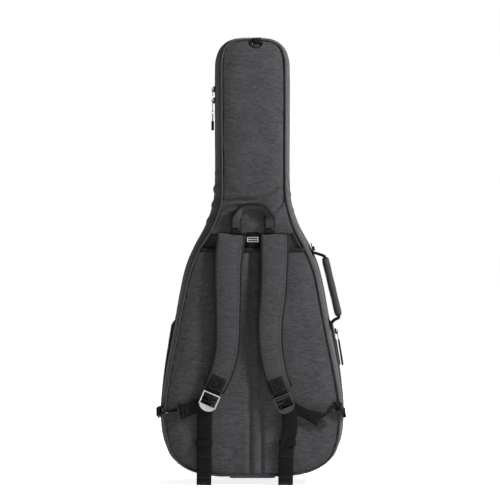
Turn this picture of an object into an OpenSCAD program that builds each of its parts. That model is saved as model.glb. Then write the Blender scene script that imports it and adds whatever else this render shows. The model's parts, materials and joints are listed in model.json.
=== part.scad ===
// Padded guitar gig bag: a back tray and a front lid of padded fabric, joined by a
// fabric hinge on the left flank and a zip round the rest of the rim, with shoulder
// straps, a haul loop and a stow pocket on the back, and a front pocket on the lid.
// The strap side faces -Y. The origin is the middle of the wear strip under the base.

/* [Bag] */
// Length from the base to the top of the head
bag_len = 1140; // [1120:5:1160]
// Width across the lower bout, at the zip
bout_w = 476; // [466:2:486]
// Width of the neck, at the zip
neck_w = 194; // [190:2:198]
// Depth of the back tray, from the zip plane to the back panel
tray_depth = 80; // [76:1:84]
// Depth of the front lid, from the zip plane to the front panel
lid_depth = 78; // [74:1:82]
// How much shallower the tray is at the head than at the body
tray_taper = 16; // [8:1:20]
// How much shallower the lid is at the head than at the body
lid_taper = 34; // [20:1:36]
// Depth of the front pocket
pocket_depth = 36; // [32:1:40]
// Height of the front pocket
pocket_h = 409; // [400:1:412]

/* [Padding] */
// Thickness of the outer fabric
fabric_t = 1.5; // [1:0.1:2]
// Thickness of the foam in the panels and gussets
foam_t = 12; // [10:1:13]
// Thickness of the plush lining
lining_t = 2; // [1.5:0.1:2.5]
// Thickness of a shoulder strap
strap_t = 13; // [10:1:15]

/* [Hardware] */
// Width of the strap webbing
web_w = 38; // [36:1:38]
// Thickness of the webbing
web_t = 1.6; // [1.4:0.1:2]
// Inside width of a D-ring
ring_w = 25; // [24:1:26]
// Radius of the D-ring wire
ring_r = 1.8; // [1.6:0.1:2]
// Radius of the snap hook's claw, on the wire's centreline
claw_r = 8; // [8:0.5:9]
// Radius of the snap hook's wire
hook_r = 2; // [1.8:0.1:2]

/* [Hidden] */
$fn = 48;

bout = bout_w / 2;
neck = neck_w / 2;
skin = 3;                          // inset of the gusset's outer face from the zip's outer face
foam_out = skin + fabric_t;        // inset of the gusset foam's outer face
foam_in = foam_out + foam_t;       // inset of the gusset foam's inner face
lining_in = foam_in + lining_t;    // inset of the lining's inner face
panel_t = fabric_t + foam_t + lining_t;
kink_tray = 620;                   // height where the back panel starts to slope in
kink_lid = 560;                    // height where the front panel starts to slope in
part_gap = 0.3;                    // gap between tray and lid at the zip plane
yoke_z = 630;                      // lower edge of the neck panel
stow_z = 588;                      // top edge of the stow pocket
cover_t = 2.5;                     // thickness of the neck panel and the stow pocket
hinge_lo = 215;                    // lower end of the fabric hinge
hinge_hi = 420;                    // upper end of the fabric hinge
far = 700;                         // longer than any part, for cutters
patch = [118, 50];                 // size of the wear strip
patch_y = 37;                      // how far the wear strip's middle is behind the zip plane
side_y = -94;                      // depth of the D-rings and hooks

// Shapes are drawn with the zip plane at y = 0, then set with the wear strip's middle at the origin
module seat() translate([0, patch_y, 0]) children();

// Outline of the zip line, from the top of the head down the right side to the base
half_outline = [
    [0, bag_len], [0.46 * neck, bag_len - 3], [0.8 * neck, bag_len - 19], [0.97 * neck, bag_len - 52],
    [neck, bag_len - 100], [neck, 900], [neck, 770], [neck + 6, 708], [neck + 25, 652],
    [0.63 * bout, 600], [0.72 * bout, 550], [0.782 * bout, 490], [0.861 * bout, 385],
    [0.941 * bout, 285], [0.994 * bout, 205], [bout, 150], [0.968 * bout, 95], [0.865 * bout, 45],
    [0.67 * bout, 15], [0.42 * bout, 2], [0.25 * bout, 0.4], [0, 0]
];
steps = 3;                         // points drawn for each stretch of the outline
n_half = len(half_outline);
zip_line = concat(half_outline, [for (i = [n_half - 2 : -1 : 1]) [-half_outline[i][0], half_outline[i][1]]]);

// A point on the smooth curve through p1 and p2, at t from 0 to 1
function curve(p0, p1, p2, p3, t) =
    0.5 * (2 * p1 + (p2 - p0) * t + (2 * p0 - 5 * p1 + 4 * p2 - p3) * t * t
           + (3 * p1 - p0 - 3 * p2 + p3) * t * t * t);

// A smooth closed line through the points
function closed_curve(p, n) = let (m = len(p))
    [for (i = [0 : m - 1]) for (k = [0 : n - 1])
        curve(p[(i + m - 1) % m], p[i], p[(i + 1) % m], p[(i + 2) % m], k / n)];

// A smooth open line through the points
function open_curve(p, n) = let (m = len(p))
    concat([for (i = [0 : m - 2]) for (k = [0 : n - 1])
        curve(p[max(i - 1, 0)], p[i], p[i + 1], p[min(i + 2, m - 1)], k / n)], [p[m - 1]]);

function unit(v) = v / norm(v);

// The points of a closed clockwise line, moved inwards by d
function inset(p, d) = let (m = len(p))
    [for (i = [0 : m - 1])
        let (t = unit(p[(i + 1) % m] - p[(i + m - 1) % m])) p[i] + d * [t[1], -t[0]]];

rim = closed_curve(zip_line, steps);

// The band of width w(i) along an open line, as a closed outline
function band(line, w0, w1) = let (m = len(line), s = [for (i = [0 : m - 1])
        let (t = unit(line[min(i + 1, m - 1)] - line[max(i - 1, 0)]), w = w0 + (w1 - w0) * i / (m - 1))
        [[t[1], -t[0]] * w / 2, line[i]]])
    concat([for (i = [0 : m - 1]) s[i][1] + s[i][0]], [for (i = [m - 1 : -1 : 0]) s[i][1] - s[i][0]]);

// Depth of the back panel's and the front panel's outer face at the base, and at the head
back_y = [-tray_depth, -tray_depth + tray_taper];
front_y = [lid_depth, lid_depth - lid_taper];

// An XZ outline pulled through the whole depth
module plan(points) rotate([90, 0, 0]) linear_extrude(far, center = true) polygon(points);

// A plate in the XZ plane, between two depths
module plate(points, y0, y1) translate([0, y1, 0]) rotate([90, 0, 0]) linear_extrude(y1 - y0) polygon(points);

// A box between two corners
module span(a, b) translate(a) cube(b - a);

// Everything between two depth lines, each given as [depth at the body, depth at the head]
module between(ya, yb, kink) rotate([90, 0, 90]) linear_extrude(far, center = true) polygon([
    [ya[0], -50], [ya[0], kink], [ya[1], bag_len], [ya[1], bag_len + 50],
    [yb[1], bag_len + 50], [yb[1], bag_len], [yb[0], kink], [yb[0], -50]]);

// A flat panel that follows the back of the tray, between two distances behind its outer face
module tray_layer(points, a, b) intersection() {
    plan(points);
    between([back_y[0] + a, back_y[1] + a], [back_y[0] + b, back_y[1] + b], kink_tray);
}

// A flat panel that follows the front of the lid, between two distances behind its outer face
module lid_layer(points, a, b) intersection() {
    plan(points);
    between([front_y[0] - b, front_y[1] - b], [front_y[0] - a, front_y[1] - a], kink_lid);
}

// A wall round the rim between two insets, from distance a behind the back face to the zip plane
module tray_wall(d_out, d_in, a) difference() {
    intersection() {
        plan(inset(rim, d_out));
        between([back_y[0] + a, back_y[1] + a], [-part_gap, -part_gap], kink_tray);
    }
    plan(inset(rim, d_in));
}

// The same round the lid
module lid_wall(d_out, d_in, a) difference() {
    intersection() {
        plan(inset(rim, d_out));
        between([part_gap, part_gap], [front_y[0] - a, front_y[1] - a], kink_lid);
    }
    plan(inset(rim, d_in));
}

// ---- Back tray ----

piping_out = 4;                    // inset of the piping's outer side
piping_in = 12;                    // inset of the piping's inner side

module back_fabric() seat() color("dimgray") tray_layer(inset(rim, piping_in), 0, fabric_t);

module back_foam() seat() color("khaki") tray_layer(inset(rim, foam_out), fabric_t, fabric_t + foam_t);

module tray_gusset_fabric() seat() color("dimgray") tray_wall(skin, foam_out, fabric_t);

module tray_gusset_foam() seat() color("khaki") tray_wall(foam_out, foam_in, fabric_t + foam_t);

// The plush lining of the panel and the gusset, as one shell
module tray_lining() seat() color("gray") {
    tray_layer(inset(rim, foam_in), fabric_t + foam_t, panel_t);
    tray_wall(foam_in, lining_in, fabric_t + foam_t);
}

module back_piping() seat() color("black") difference() {
    tray_layer(inset(rim, piping_out), -2, fabric_t);
    plan(inset(rim, piping_in));
}

// The side of the rim where the fabric hinge replaces the zip
module hinge_zone() span([-far, -far, hinge_lo], [-120, far, hinge_hi]);

chain_w = 11;                      // width of one half of the zip, with its tape

module zip_ring(y0, y1) difference() {
    plate(rim, y0, y1);
    plan(inset(rim, skin));
}

module tray_zip() seat() color("black") difference() {
    zip_ring(-part_gap - chain_w, -part_gap);
    hinge_zone();
}

module hinge_tape() seat() color("black") intersection() {
    zip_ring(-part_gap - chain_w, -part_gap);
    hinge_zone();
}

module neck_panel() seat() color("dimgray") intersection() {
    tray_layer(inset(rim, piping_in), -cover_t, 0);
    span([-far, -far, yoke_z], [far, 0, bag_len + 50]);
}

module stow_pocket() seat() color("dimgray") intersection() {
    tray_layer(inset(rim, piping_in), -cover_t, 0);
    span([-far, -far, 0], [far, 0, stow_z]);
}

spine_x = 1;                       // middle of the spine webbing
spine_w = 30;                      // its width
cover_y = back_y[0] - cover_t;     // outer face of the neck panel and the stow pocket

module spine_webbing() seat() color("black")
    span([spine_x - spine_w / 2, back_y[0] - web_t, stow_z + 1],
         [spine_x + spine_w / 2, back_y[0], yoke_z - 1]);

slide_z = 615;                     // middle of the spine slide

module spine_slide() seat() color("silver") difference() {
    span([spine_x - spine_w / 2, cover_y - 2.5, slide_z - 6.5],
         [spine_x + spine_w / 2, back_y[0] - web_t, slide_z + 6.5]);
    for (z = [-4.2, 1.2]) span([spine_x - 12, -far, slide_z + z], [spine_x + 12, 0, slide_z + z + 3]);
}

// Flat wear strip under the base
module base_patch() seat() color("black")
    span([-patch[0] / 2, -patch_y - patch[1] / 2, 0], [patch[0] / 2, -patch_y + patch[1] / 2, skin]);

cradle_z = [640, 760];             // lower and upper end of the neck cradle
cradle_half = 62;                  // half its width
cradle_top = -14;                  // depth of its top face
groove_r = 34;                     // radius of the groove that the neck lies in

module neck_cradle() seat() color("dimgray") difference() {
    intersection() {
        span([-cradle_half, -far, cradle_z[0]], [cradle_half, cradle_top, cradle_z[1]]);
        between([back_y[0] + panel_t, back_y[1] + panel_t], [0, 0], kink_tray);
    }
    translate([0, cradle_top, 0]) cylinder(r = groove_r, h = far * 3, center = true);
}

flap_z = [681, 719];               // lower and upper edge of the neck strap

// Half of the neck strap: it lies across the cradle and turns at the cradle's side
module neck_flap(s) seat() color("black")
    span([min(0.4 * s, 62.5 * s), cradle_top + 0.4, flap_z[0]],
         [max(0.4 * s, 62.5 * s), cradle_top + 2.4, flap_z[1]]);

module end_pads() seat() color("dimgray") {
    intersection() {
        tray_wall(lining_in, lining_in + 9, panel_t);
        span([-far, -far, bag_len - 60], [far, far, bag_len]);
    }
    intersection() {
        tray_wall(lining_in, lining_in + 12, panel_t);
        span([-90, -far, 0], [90, far, 60]);
    }
}

// ---- D-rings ----

// A D-ring with its bar on the X axis and its bow below
module d_ring() color("dimgray") {
    rotate([0, 90, 0]) cylinder(r = ring_r, h = ring_w + 2 * ring_r, center = true);
    rotate([90, 0, 0]) rotate([0, 0, 180]) rotate_extrude(angle = 180)
        translate([ring_w / 2 + ring_r / 2, 0]) circle(ring_r);
}

// A webbing loop round a D-ring's bar, from the bar up to a height h
module ring_loop(h) color("black") difference() {
    union() {
        rotate([0, 90, 0]) cylinder(r = ring_r + 0.4 + web_t, h = ring_w - 3, center = true);
        span([1.5 - ring_w / 2, -1.6, 0], [ring_w / 2 - 1.5, 1.6, h]);
    }
    rotate([0, 90, 0]) cylinder(r = ring_r + 0.4, h = far, center = true);
}

hang_at = [12, -71, 1122];         // bar of the hang ring

module hang_tab() seat() translate(hang_at) {
    ring_loop(13);
    color("black") span([1.5 - ring_w / 2, 1.6, 7], [ring_w / 2 - 1.5, 4.1, 13]);
}

module hang_ring() seat() translate(hang_at) d_ring();

// ---- Side rings and hooks ----

// For each side: where the ring's bar is, and which way the ring hangs, turned about Y
ring_at = [[-241, side_y, 173], [217, side_y, 187]];
ring_turn = [-90, 53];

module side_ring(i) seat() translate(ring_at[i]) rotate([0, ring_turn[i], 0]) d_ring();

tab_top = [186, 181];              // upper edge of each side tab
tab_y = side_y + 3.4;              // depth of the tab where it meets the ring's loop
// Plan of each side tab: from the ring's loop round to the gusset
tab_line = [
    [[-244.6, side_y], [-246, side_y + 8], [-243, -70], [-238.5, -60], [-236.9, -50], [-236.9, -40]],
    [[218, tab_y], [228, tab_y + 0.6], [237, -84.5], [239, -74], [237.6, -60], [236.9, -50], [236.9, -40]]
];

module side_tab(i) color("black") {
    translate(ring_at[i]) rotate([0, ring_turn[i], 0]) ring_loop(3.6);
    translate([0, 0, tab_top[i] - 26]) linear_extrude(26) polygon(band(tab_line[i], web_t, web_t));
}

module ring_tabs() seat() for (i = [0, 1]) side_tab(i);

// For each side: the claw's centre, and the turn of the hook about Y
claw_at = [[-226.3, side_y, 173], [205.6, side_y, 178.4]];
hook_turn = [0, 143];
hook_roll = 30;
hook_len = 42;                     // from the claw's centre to the eye's bar

// Places a shape that is drawn with the claw at the origin and the eye on +X
module hook_frame(i) translate(claw_at[i]) rotate([0, hook_turn[i], 0]) rotate([hook_roll, 0, 0])
    children();

nose = 62;                         // angle of the claw's nose
root = 158;                        // angle of the gate's pivot

module hook(i) seat() color("dimgray") hook_frame(i) mirror([1, 0, 0]) {
    rotate([0, 0, root + 2]) rotate_extrude(angle = 360 - root - 2 + nose)
        translate([claw_r, 0]) circle(hook_r);
    translate([-claw_r - 13, 0, 0]) rotate([0, 90, 0]) cylinder(r = hook_r + 0.8, h = 13);
    translate([-claw_r - 16, 0, 0]) rotate([0, 90, 0]) cylinder(r = hook_r + 2.2, h = 4);
}

function polar(r, a) = [r * cos(a), r * sin(a), 0];

module gate(i) seat() color("silver") hook_frame(i) mirror([1, 0, 0]) {
    a = polar(claw_r, root - 6);
    b = polar(claw_r, nose + 22);
    d = b - a;
    translate(a) rotate([0, 0, atan2(d[1], d[0])]) rotate([0, 90, 0]) cylinder(r = 1.3, h = norm(d));
}

eye_w = web_w + 8;                 // width of the hook's eye

// The eye that the webbing passes through, with the swivel's socket
module hook_eye(i) translate(claw_at[i]) rotate([0, hook_turn[i], 0]) {
    difference() {
        span([hook_len - 7, -2, -eye_w / 2], [hook_len + 5, 2, eye_w / 2]);
        span([hook_len - 3.5, -3, -web_w / 2 - 0.5], [hook_len + 1.5, 3, web_w / 2 + 0.5]);
    }
    translate([claw_r + 16.4, 0, 0]) rotate([0, 90, 0]) cylinder(r = 4.5, h = hook_len - claw_r - 23.2);
}

module hook_eyes() seat() color("dimgray") for (i = [0, 1]) hook_eye(i);

// ---- Shoulder straps ----

// Middle line of each shoulder strap, from under the neck panel down to the buckle
strap_line = [
    [[-54, 629], [-61, 560], [-62, 480], [-62, 400], [-65, 330], [-80, 272], [-99, 232]],
    [[58, 629], [57, 560], [54, 480], [46, 400], [49, 330], [61, 268], [76, 228]]
];
strap_top_w = 74;
strap_end_w = 58;

// The side profile of a strap: it leaves the back, stands off it and comes back towards it
strap_rise = [[cover_y + 1.5, 629], [-90, 600], [-98, 540], [-102, 460], [-102, 360], [-99, 280], [-96, 200]];

module strap(i) seat() color("dimgray") intersection() {
    plan(band(open_curve(strap_line[i], steps), strap_top_w, strap_end_w));
    rotate([90, 0, 90]) linear_extrude(far, center = true) polygon(let (c = open_curve(strap_rise, 2))
        concat([for (p = c) [p[0] + (p[1] > 610 ? 0 : strap_t / 2 - 3), p[1]]],
               [for (k = [len(c) - 1 : -1 : 0]) [c[k][0] - (c[k][1] > 610 ? 6 : strap_t / 2 + 3), c[k][1]]]));
}

// For each side: the buckle's middle, and its turn about Y
buckle_at = [[-109.5, -107.6, 205], [81, -107.6, 199]];
buckle_turn = [23.7, -22.5];

module buckle_frame(i) translate(buckle_at[i]) rotate([0, buckle_turn[i], 0]) children();

frame_w = web_w + 8;               // outside width of the ladder lock
frame_h = 36;                      // outside height without the thumb tab
bar = 3;                           // width of its sides
bars_z = [5, -6];                  // the two middle bars
bar_r = 1.3;                       // radius of a middle bar

// Webbing sewn to each strap, folded round the ladder lock's top bar
module strap_stubs() seat() color("black") for (i = [0, 1]) buckle_frame(i)
    span([-web_w / 2, -2.6, frame_h / 2 + 0.5], [web_w / 2, -1, frame_h / 2 + 46]);

// Ladder lock: a flat frame with two middle bars and a round thumb tab
module buckle(i) seat() color("silver") buckle_frame(i) {
    difference() {
        union() {
            rotate([90, 0, 0]) linear_extrude(3, center = true) square([frame_w, frame_h], center = true);
            intersection() {
                translate([0, 0, 14 - frame_h / 2]) rotate([90, 0, 0]) cylinder(r = 26, h = 3, center = true);
                span([-19, -2, -frame_h / 2 - 13], [19, 2, -frame_h / 2 + 1]);
            }
        }
        rotate([90, 0, 0]) linear_extrude(4, center = true)
            square([frame_w - 2 * bar, frame_h - 2 * bar], center = true);
    }
    for (z = bars_z) translate([0, 0, z]) rotate([0, 90, 0])
        cylinder(r = bar_r, h = frame_w - bar, center = true);
}

// Webbing where it turns round the two middle bars
module buckle_wraps(i) seat() color("black") buckle_frame(i) for (z = bars_z)
    translate([0, 0, z]) rotate([0, 90, 0]) difference() {
        cylinder(r = bar_r + web_t, h = web_w, center = true);
        cylinder(r = bar_r, h = web_w + 1, center = true);
    }

web_y = side_y - 4;                         // depth of the adjuster and tail webbing

// Webbing from behind the ladder lock to the hook's eye
adjuster_line = [
    [[-128, 208], [-93, 192], [-187, 154], [-187, 192]],
    [[66, 186], [98, 206], [161.4, 168.9], [184.3, 138.5]]
];

module adjuster(i) color("black") plate(adjuster_line[i], web_y, web_y + web_t);

tail_x = [-124, 85];
tail_lo = -15;
tail_y = web_y + 2.2;              // depth of the tail's outer face
fold_top = 68;                     // height that the folded tip reaches

// Free end of the webbing, with its folded and sewn tip
module tail(i) color("black") {
    span([tail_x[i] - web_w / 2, tail_y, tail_lo], [tail_x[i] + web_w / 2, tail_y + web_t, 183]);
    span([tail_x[i] - web_w / 2, tail_y + web_t, tail_lo],
         [tail_x[i] + web_w / 2 - 2, tail_y + 2 * web_t, fold_top]);
}

// One length of webbing, from the hook's eye to the ladder lock and down to the tip
module web(i) seat() {
    adjuster(i);
    tail(i);
}

keeper_z = [86, 102];

// Elastic keeper round each tail
module keepers() seat() color("black") for (x = tail_x) difference() {
    span([x - web_w / 2 - 4, tail_y - 2.4, keeper_z[0]], [x + web_w / 2 + 4, tail_y + 6, keeper_z[1]]);
    span([x - web_w / 2 - 2, tail_y - 0.4, keeper_z[0] - 1],
         [x + web_w / 2 + 2, tail_y + 4, keeper_z[1] + 1]);
}

// ---- Haul loop and side handle ----

loop_at = [2, -87, 645];           // middle of the haul loop's base
loop_w = 112;
loop_h = 63;
loop_band = 23;                    // width of the haul loop's legs

// Round top and straight legs
module arch(w, h) intersection() {
    translate([-w / 2, 0]) square([w, h]);
    union() {
        translate([0, h - w / 2]) circle(w / 2);
        translate([-w / 2, -w]) square([w, w + h - w / 2]);
    }
}

module haul_loop() seat() color("black") translate(loop_at) rotate([90, 0, 0])
    linear_extrude(9) difference() {
        arch(loop_w, loop_h);
        translate([0, -1]) arch(loop_w - 2 * loop_band, loop_h - 14);
    }

// The side handle's frame: origin at its upper anchor, its length down -Z along the flank
handle_at = [156.4, -38, 583];
handle_lean = -13.4;               // turn about Y that lines it up with the flank
handle_len = 184;
handle_out = 29;                   // how far the handle's webbing stands off
handle_w = 19;                     // width of its webbing
grip_r = 10.5;
grip_z = [-178, -20];              // lower and upper end of the grip
turn_x = 4;                        // how far the handle's turning line stands off the flank

module handle_frame() translate(handle_at) rotate([0, handle_lean, 0]) children();

// Webbing of the side handle: two sloping ends and a straight stretch inside the grip
module side_handle() seat() color("black") handle_frame() translate([0, handle_w / 2, 0]) rotate([90, 0, 0])
    linear_extrude(handle_w) polygon(let (t = 3.5, a = grip_z[1] + 4, b = grip_z[0] - 4)
        [[turn_x + 4, -3], [handle_out - 5, a + 5], [handle_out, a], [handle_out, b],
         [handle_out - 5, b - 4], [turn_x + 4, 3 - handle_len], [turn_x + 4, 3 + t - handle_len],
         [handle_out - 7, b - 4 + t], [handle_out - t, b + t], [handle_out - t, a - t],
         [handle_out - 7, a + 5 - t], [turn_x + 4, -3 - t]]);

module handle_grip() seat() color("dimgray") handle_frame() translate([handle_out - 1.75, 0, 0])
    difference() {
        translate([0, 0, grip_z[0]]) cylinder(r = grip_r, h = grip_z[1] - grip_z[0]);
        span([-1.75, -handle_w / 2, grip_z[0] - 1], [1.75, handle_w / 2, grip_z[1] + 1]);
    }

// Webbing sewn to the bag where the haul loop and the side handle start
module sewn_anchors() seat() color("black") {
    for (s = [-1, 1]) translate([loop_at[0] + s * (loop_w - loop_band) / 2, 0, yoke_z + 2])
        span([-loop_band / 2, -91, 0], [loop_band / 2, cover_y, 12.6]);
    handle_frame() for (z = [2, -handle_len - 14]) {
        span([0.2, -13, z - 10], [turn_x - 2.4, 13, z + 22]);
        translate([turn_x, 0, z]) cylinder(r = 3.4, h = 12);
    }
}

// ---- Zip sliders ----

// A slider on a wall that faces -X: a body, and an arch for the pull's bar to pass under
module slider() color("dimgray") {
    span([-4, -4.5, -8], [0, 4.5, 8]);
    difference() {
        span([-8.4, -1.5, -5], [-3, 1.5, 5]);
        span([-7, -2, -3.4], [-4, 2, 3.4]);
    }
}

pull_axis = -5.6;                  // depth of the pull's bar from the slider's foot
pull_w = 8;                        // width of a pull

// A pull that hangs from the origin: a bar under the arch, two arms and a tab with a hole
module pull(length) color("dimgray") {
    rotate([90, 0, 0]) cylinder(r = 0.9, h = pull_w, center = true);
    for (s = [-1, 1]) span([-0.9, s * (pull_w / 2 - 0.9) - 0.9, -11], [0.9, s * (pull_w / 2 - 0.9) + 0.9, 0]);
    difference() {
        span([-0.9, -pull_w / 2, -length], [0.9, pull_w / 2, -10]);
        translate([0, 0, 4 - length]) rotate([0, 90, 0]) cylinder(r = 2.4, h = 4, center = true);
    }
}

zip_x = -neck - 0.8;               // foot of the main sliders
upper_z = 1007;
lower_z = 978;
lower_len = 30;                    // length of the lower pull
cord_z = lower_z + 4 - lower_len;  // the hole that the cord hangs in
link_r = 5.2;

module upper_slider() seat() translate([zip_x, 0, upper_z]) slider();

module upper_pull() seat() translate([zip_x + pull_axis, 0, upper_z]) pull(18);

module lower_slider() seat() translate([zip_x, 0, lower_z]) slider();

module lower_pull() seat() translate([zip_x + pull_axis, 0, lower_z]) pull(lower_len);

// Wire link, cord and moulded barrel that hang from the lower pull
module pull_cord() seat() color("black") translate([zip_x + pull_axis, 0, cord_z]) {
    translate([0, 0, -link_r]) rotate([90, 0, 0]) rotate_extrude() translate([link_r, 0]) circle(0.8);
    translate([0, 0, -29]) cylinder(r = 1.2, h = 30 - 2 * link_r);
    translate([0, 0, -52]) cylinder(r = 4, h = 25);
}

// ---- Front lid ----

module front_fabric() seat() color("dimgray") lid_layer(inset(rim, piping_in), 0, fabric_t);

module front_foam() seat() color("khaki") lid_layer(inset(rim, foam_out), fabric_t, fabric_t + foam_t);

module lid_gusset_fabric() seat() color("dimgray") lid_wall(skin, foam_out, fabric_t);

module lid_gusset_foam() seat() color("khaki") lid_wall(foam_out, foam_in, fabric_t + foam_t);

module lid_lining() seat() color("gray") {
    lid_layer(inset(rim, foam_in), fabric_t + foam_t, panel_t);
    lid_wall(foam_in, lining_in, fabric_t + foam_t);
}

module lid_zip() seat() color("black") zip_ring(part_gap, part_gap + chain_w);

module front_piping() seat() color("black") difference() {
    lid_layer(inset(rim, piping_out), -2, fabric_t);
    plan(inset(rim, piping_in));
}

// ---- Front pockets: a deep one, and a slim one on its face ----

pocket_wall = 3;
main_y = [front_y[0] + 2.3, front_y[0] + 26];      // back and face of the deep pocket
outer_y = [main_y[1], front_y[0] + pocket_depth];  // back and face of the slim pocket
outer_in = 7;                      // how far the slim pocket's wall is inside the deep one's
// Outline of the deep pocket, from the middle of its top down the right side to the base
pocket_side = [[216, 372], [222.5, 331], [229, 290]];
pocket_outline = concat(
    [[0, pocket_h], [110, pocket_h], [178, pocket_h], [201, pocket_h - 6], [212, pocket_h - 18]],
    pocket_side,
    [[237, 225], [240.5, 160], [231, 92], [0.865 * bout, 45], [0.67 * bout, 15], [0.42 * bout, 2],
     [0.25 * bout, 0.4], [0, 0]]);
n_pocket = len(pocket_outline);
pocket_rim = closed_curve(concat(pocket_outline,
    [for (i = [n_pocket - 2 : -1 : 1]) [-pocket_outline[i][0], pocket_outline[i][1]]]), steps);
fold_z = [160, 168];               // the two flaps fold out at these heights
zip_part = [main_y[0] + 10, outer_y[0] + 4.6];     // the planes where the two zips part
zip_out = 1.6;                     // how far a zip stands out from its wall

// The deep pocket's outline, moved inwards by d
module pocket_plan(d) plan(inset(pocket_rim, d));

// A wall and a face, open towards the bag, with the wall d inside the deep pocket's outline
module pocket_shell(d, y) difference() {
    intersection() {
        pocket_plan(d);
        span([-far, y[0], -20], [far, y[1], far]);
    }
    intersection() {
        pocket_plan(d + pocket_wall);
        span([-far, y[0] - 1, -20], [far, y[1] - pocket_wall, far]);
    }
}

// Half of a pocket's zip, between two depths
module pocket_zip(d, y0, y1, z) difference() {
    intersection() {
        pocket_plan(d - zip_out);
        span([-far, y0, z + 6], [far, y1, far]);
    }
    pocket_plan(d + 0.1);
}

// Everything above a fold and in front of a zip
module in_front(i, gap) span([-far, zip_part[i] + gap, fold_z[i] + gap], [far, far, far]);

module outer_flap() seat() color("dimgray") {
    intersection() {
        pocket_shell(outer_in, outer_y);
        in_front(1, part_gap);
    }
    pocket_zip(outer_in, zip_part[1] + part_gap, zip_part[1] + 3.6, fold_z[1]);
}

module pocket_flap() seat() color("dimgray") {
    intersection() {
        pocket_shell(0, main_y);
        in_front(0, part_gap);
    }
    intersection() {
        difference() {
            pocket_shell(outer_in, outer_y);
            in_front(1, 0);
        }
        span([-far, 0, fold_z[0] + part_gap], [far, far, far]);
    }
    pocket_zip(0, zip_part[0] + part_gap, zip_part[0] + 4, fold_z[0]);
    pocket_zip(outer_in, zip_part[1] - 3.6, zip_part[1], fold_z[1]);
}

module pocket_base() seat() color("dimgray") {
    difference() {
        union() {
            pocket_shell(0, main_y);
            pocket_shell(outer_in, outer_y);
        }
        in_front(0, 0);
    }
    pocket_zip(0, zip_part[0] - 4, zip_part[0], fold_z[0]);
}

flank_turn = -atan((pocket_side[2][0] - pocket_side[0][0]) / (pocket_side[0][1] - pocket_side[2][1]));
slider_z = pocket_side[0][1];       // height of the pockets' sliders
slider_lift = zip_out + 2;         // how far a slider's foot is from the pocket's wall
slider_in = [0, outer_in * 1.01];  // how far each slider's wall is inside the outline
flap_pull = 91;                    // length of their pulls

// Places a shape on the right wall of a pocket
module on_flank(i) translate([pocket_side[0][0] + slider_lift - slider_in[i], zip_part[i], slider_z])
    rotate([0, flank_turn, 0]) mirror([1, 0, 0]) children();

module pocket_slider(i) seat() on_flank(i) slider();

module pocket_pull(i) seat() on_flank(i) translate([pull_axis, 0, 0]) pull(flap_pull);

back_fabric();
back_foam();
tray_gusset_fabric();
tray_gusset_foam();
tray_lining();
back_piping();
tray_zip();
hinge_tape();
neck_panel();
stow_pocket();
spine_webbing();
spine_slide();
base_patch();
neck_cradle();
end_pads();
hang_tab();
sewn_anchors();
strap(0);  // left_strap
strap(1);  // right_strap
strap_stubs();
web(0);  // left_web
web(1);  // right_web
ring_tabs();
hook_eyes();
keepers();
haul_loop();
hang_ring();
side_handle();
handle_grip();
buckle(0);  // left_buckle
buckle(1);  // right_buckle
buckle_wraps(0);  // left_wraps
buckle_wraps(1);  // right_wraps
side_ring(0);  // left_ring
side_ring(1);  // right_ring
hook(0);  // left_hook
hook(1);  // right_hook
gate(0);  // left_gate
gate(1);  // right_gate
neck_flap(-1);  // left_neck_flap
neck_flap(1);  // right_neck_flap
upper_slider();
upper_pull();
lower_slider();
lower_pull();
pull_cord();
front_fabric();
front_foam();
lid_gusset_fabric();
lid_gusset_foam();
lid_lining();
lid_zip();
front_piping();
pocket_base();
pocket_flap();
outer_flap();
pocket_slider(0);  // pocket_slider_a
pocket_slider(1);  // pocket_slider_b
pocket_pull(0);  // pocket_pull_a
pocket_pull(1);  // pocket_pull_b
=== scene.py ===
"""Padded gig bag for an acoustic guitar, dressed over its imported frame.

Sizes inside the classes are millimetres in the bag's own frame: x across the bag, y out of the front lid
with the zip plane at 0, z up the neck. `place` turns them into metres in the row frame.
"""

import json
import logging
import math
from dataclasses import dataclass, field
from enum import Enum
from typing import Any, Callable, Optional, Sequence

import bmesh
import bpy
import numpy as np
from mathutils import Matrix, Vector, noise
from mathutils.bvhtree import BVHTree

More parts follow.
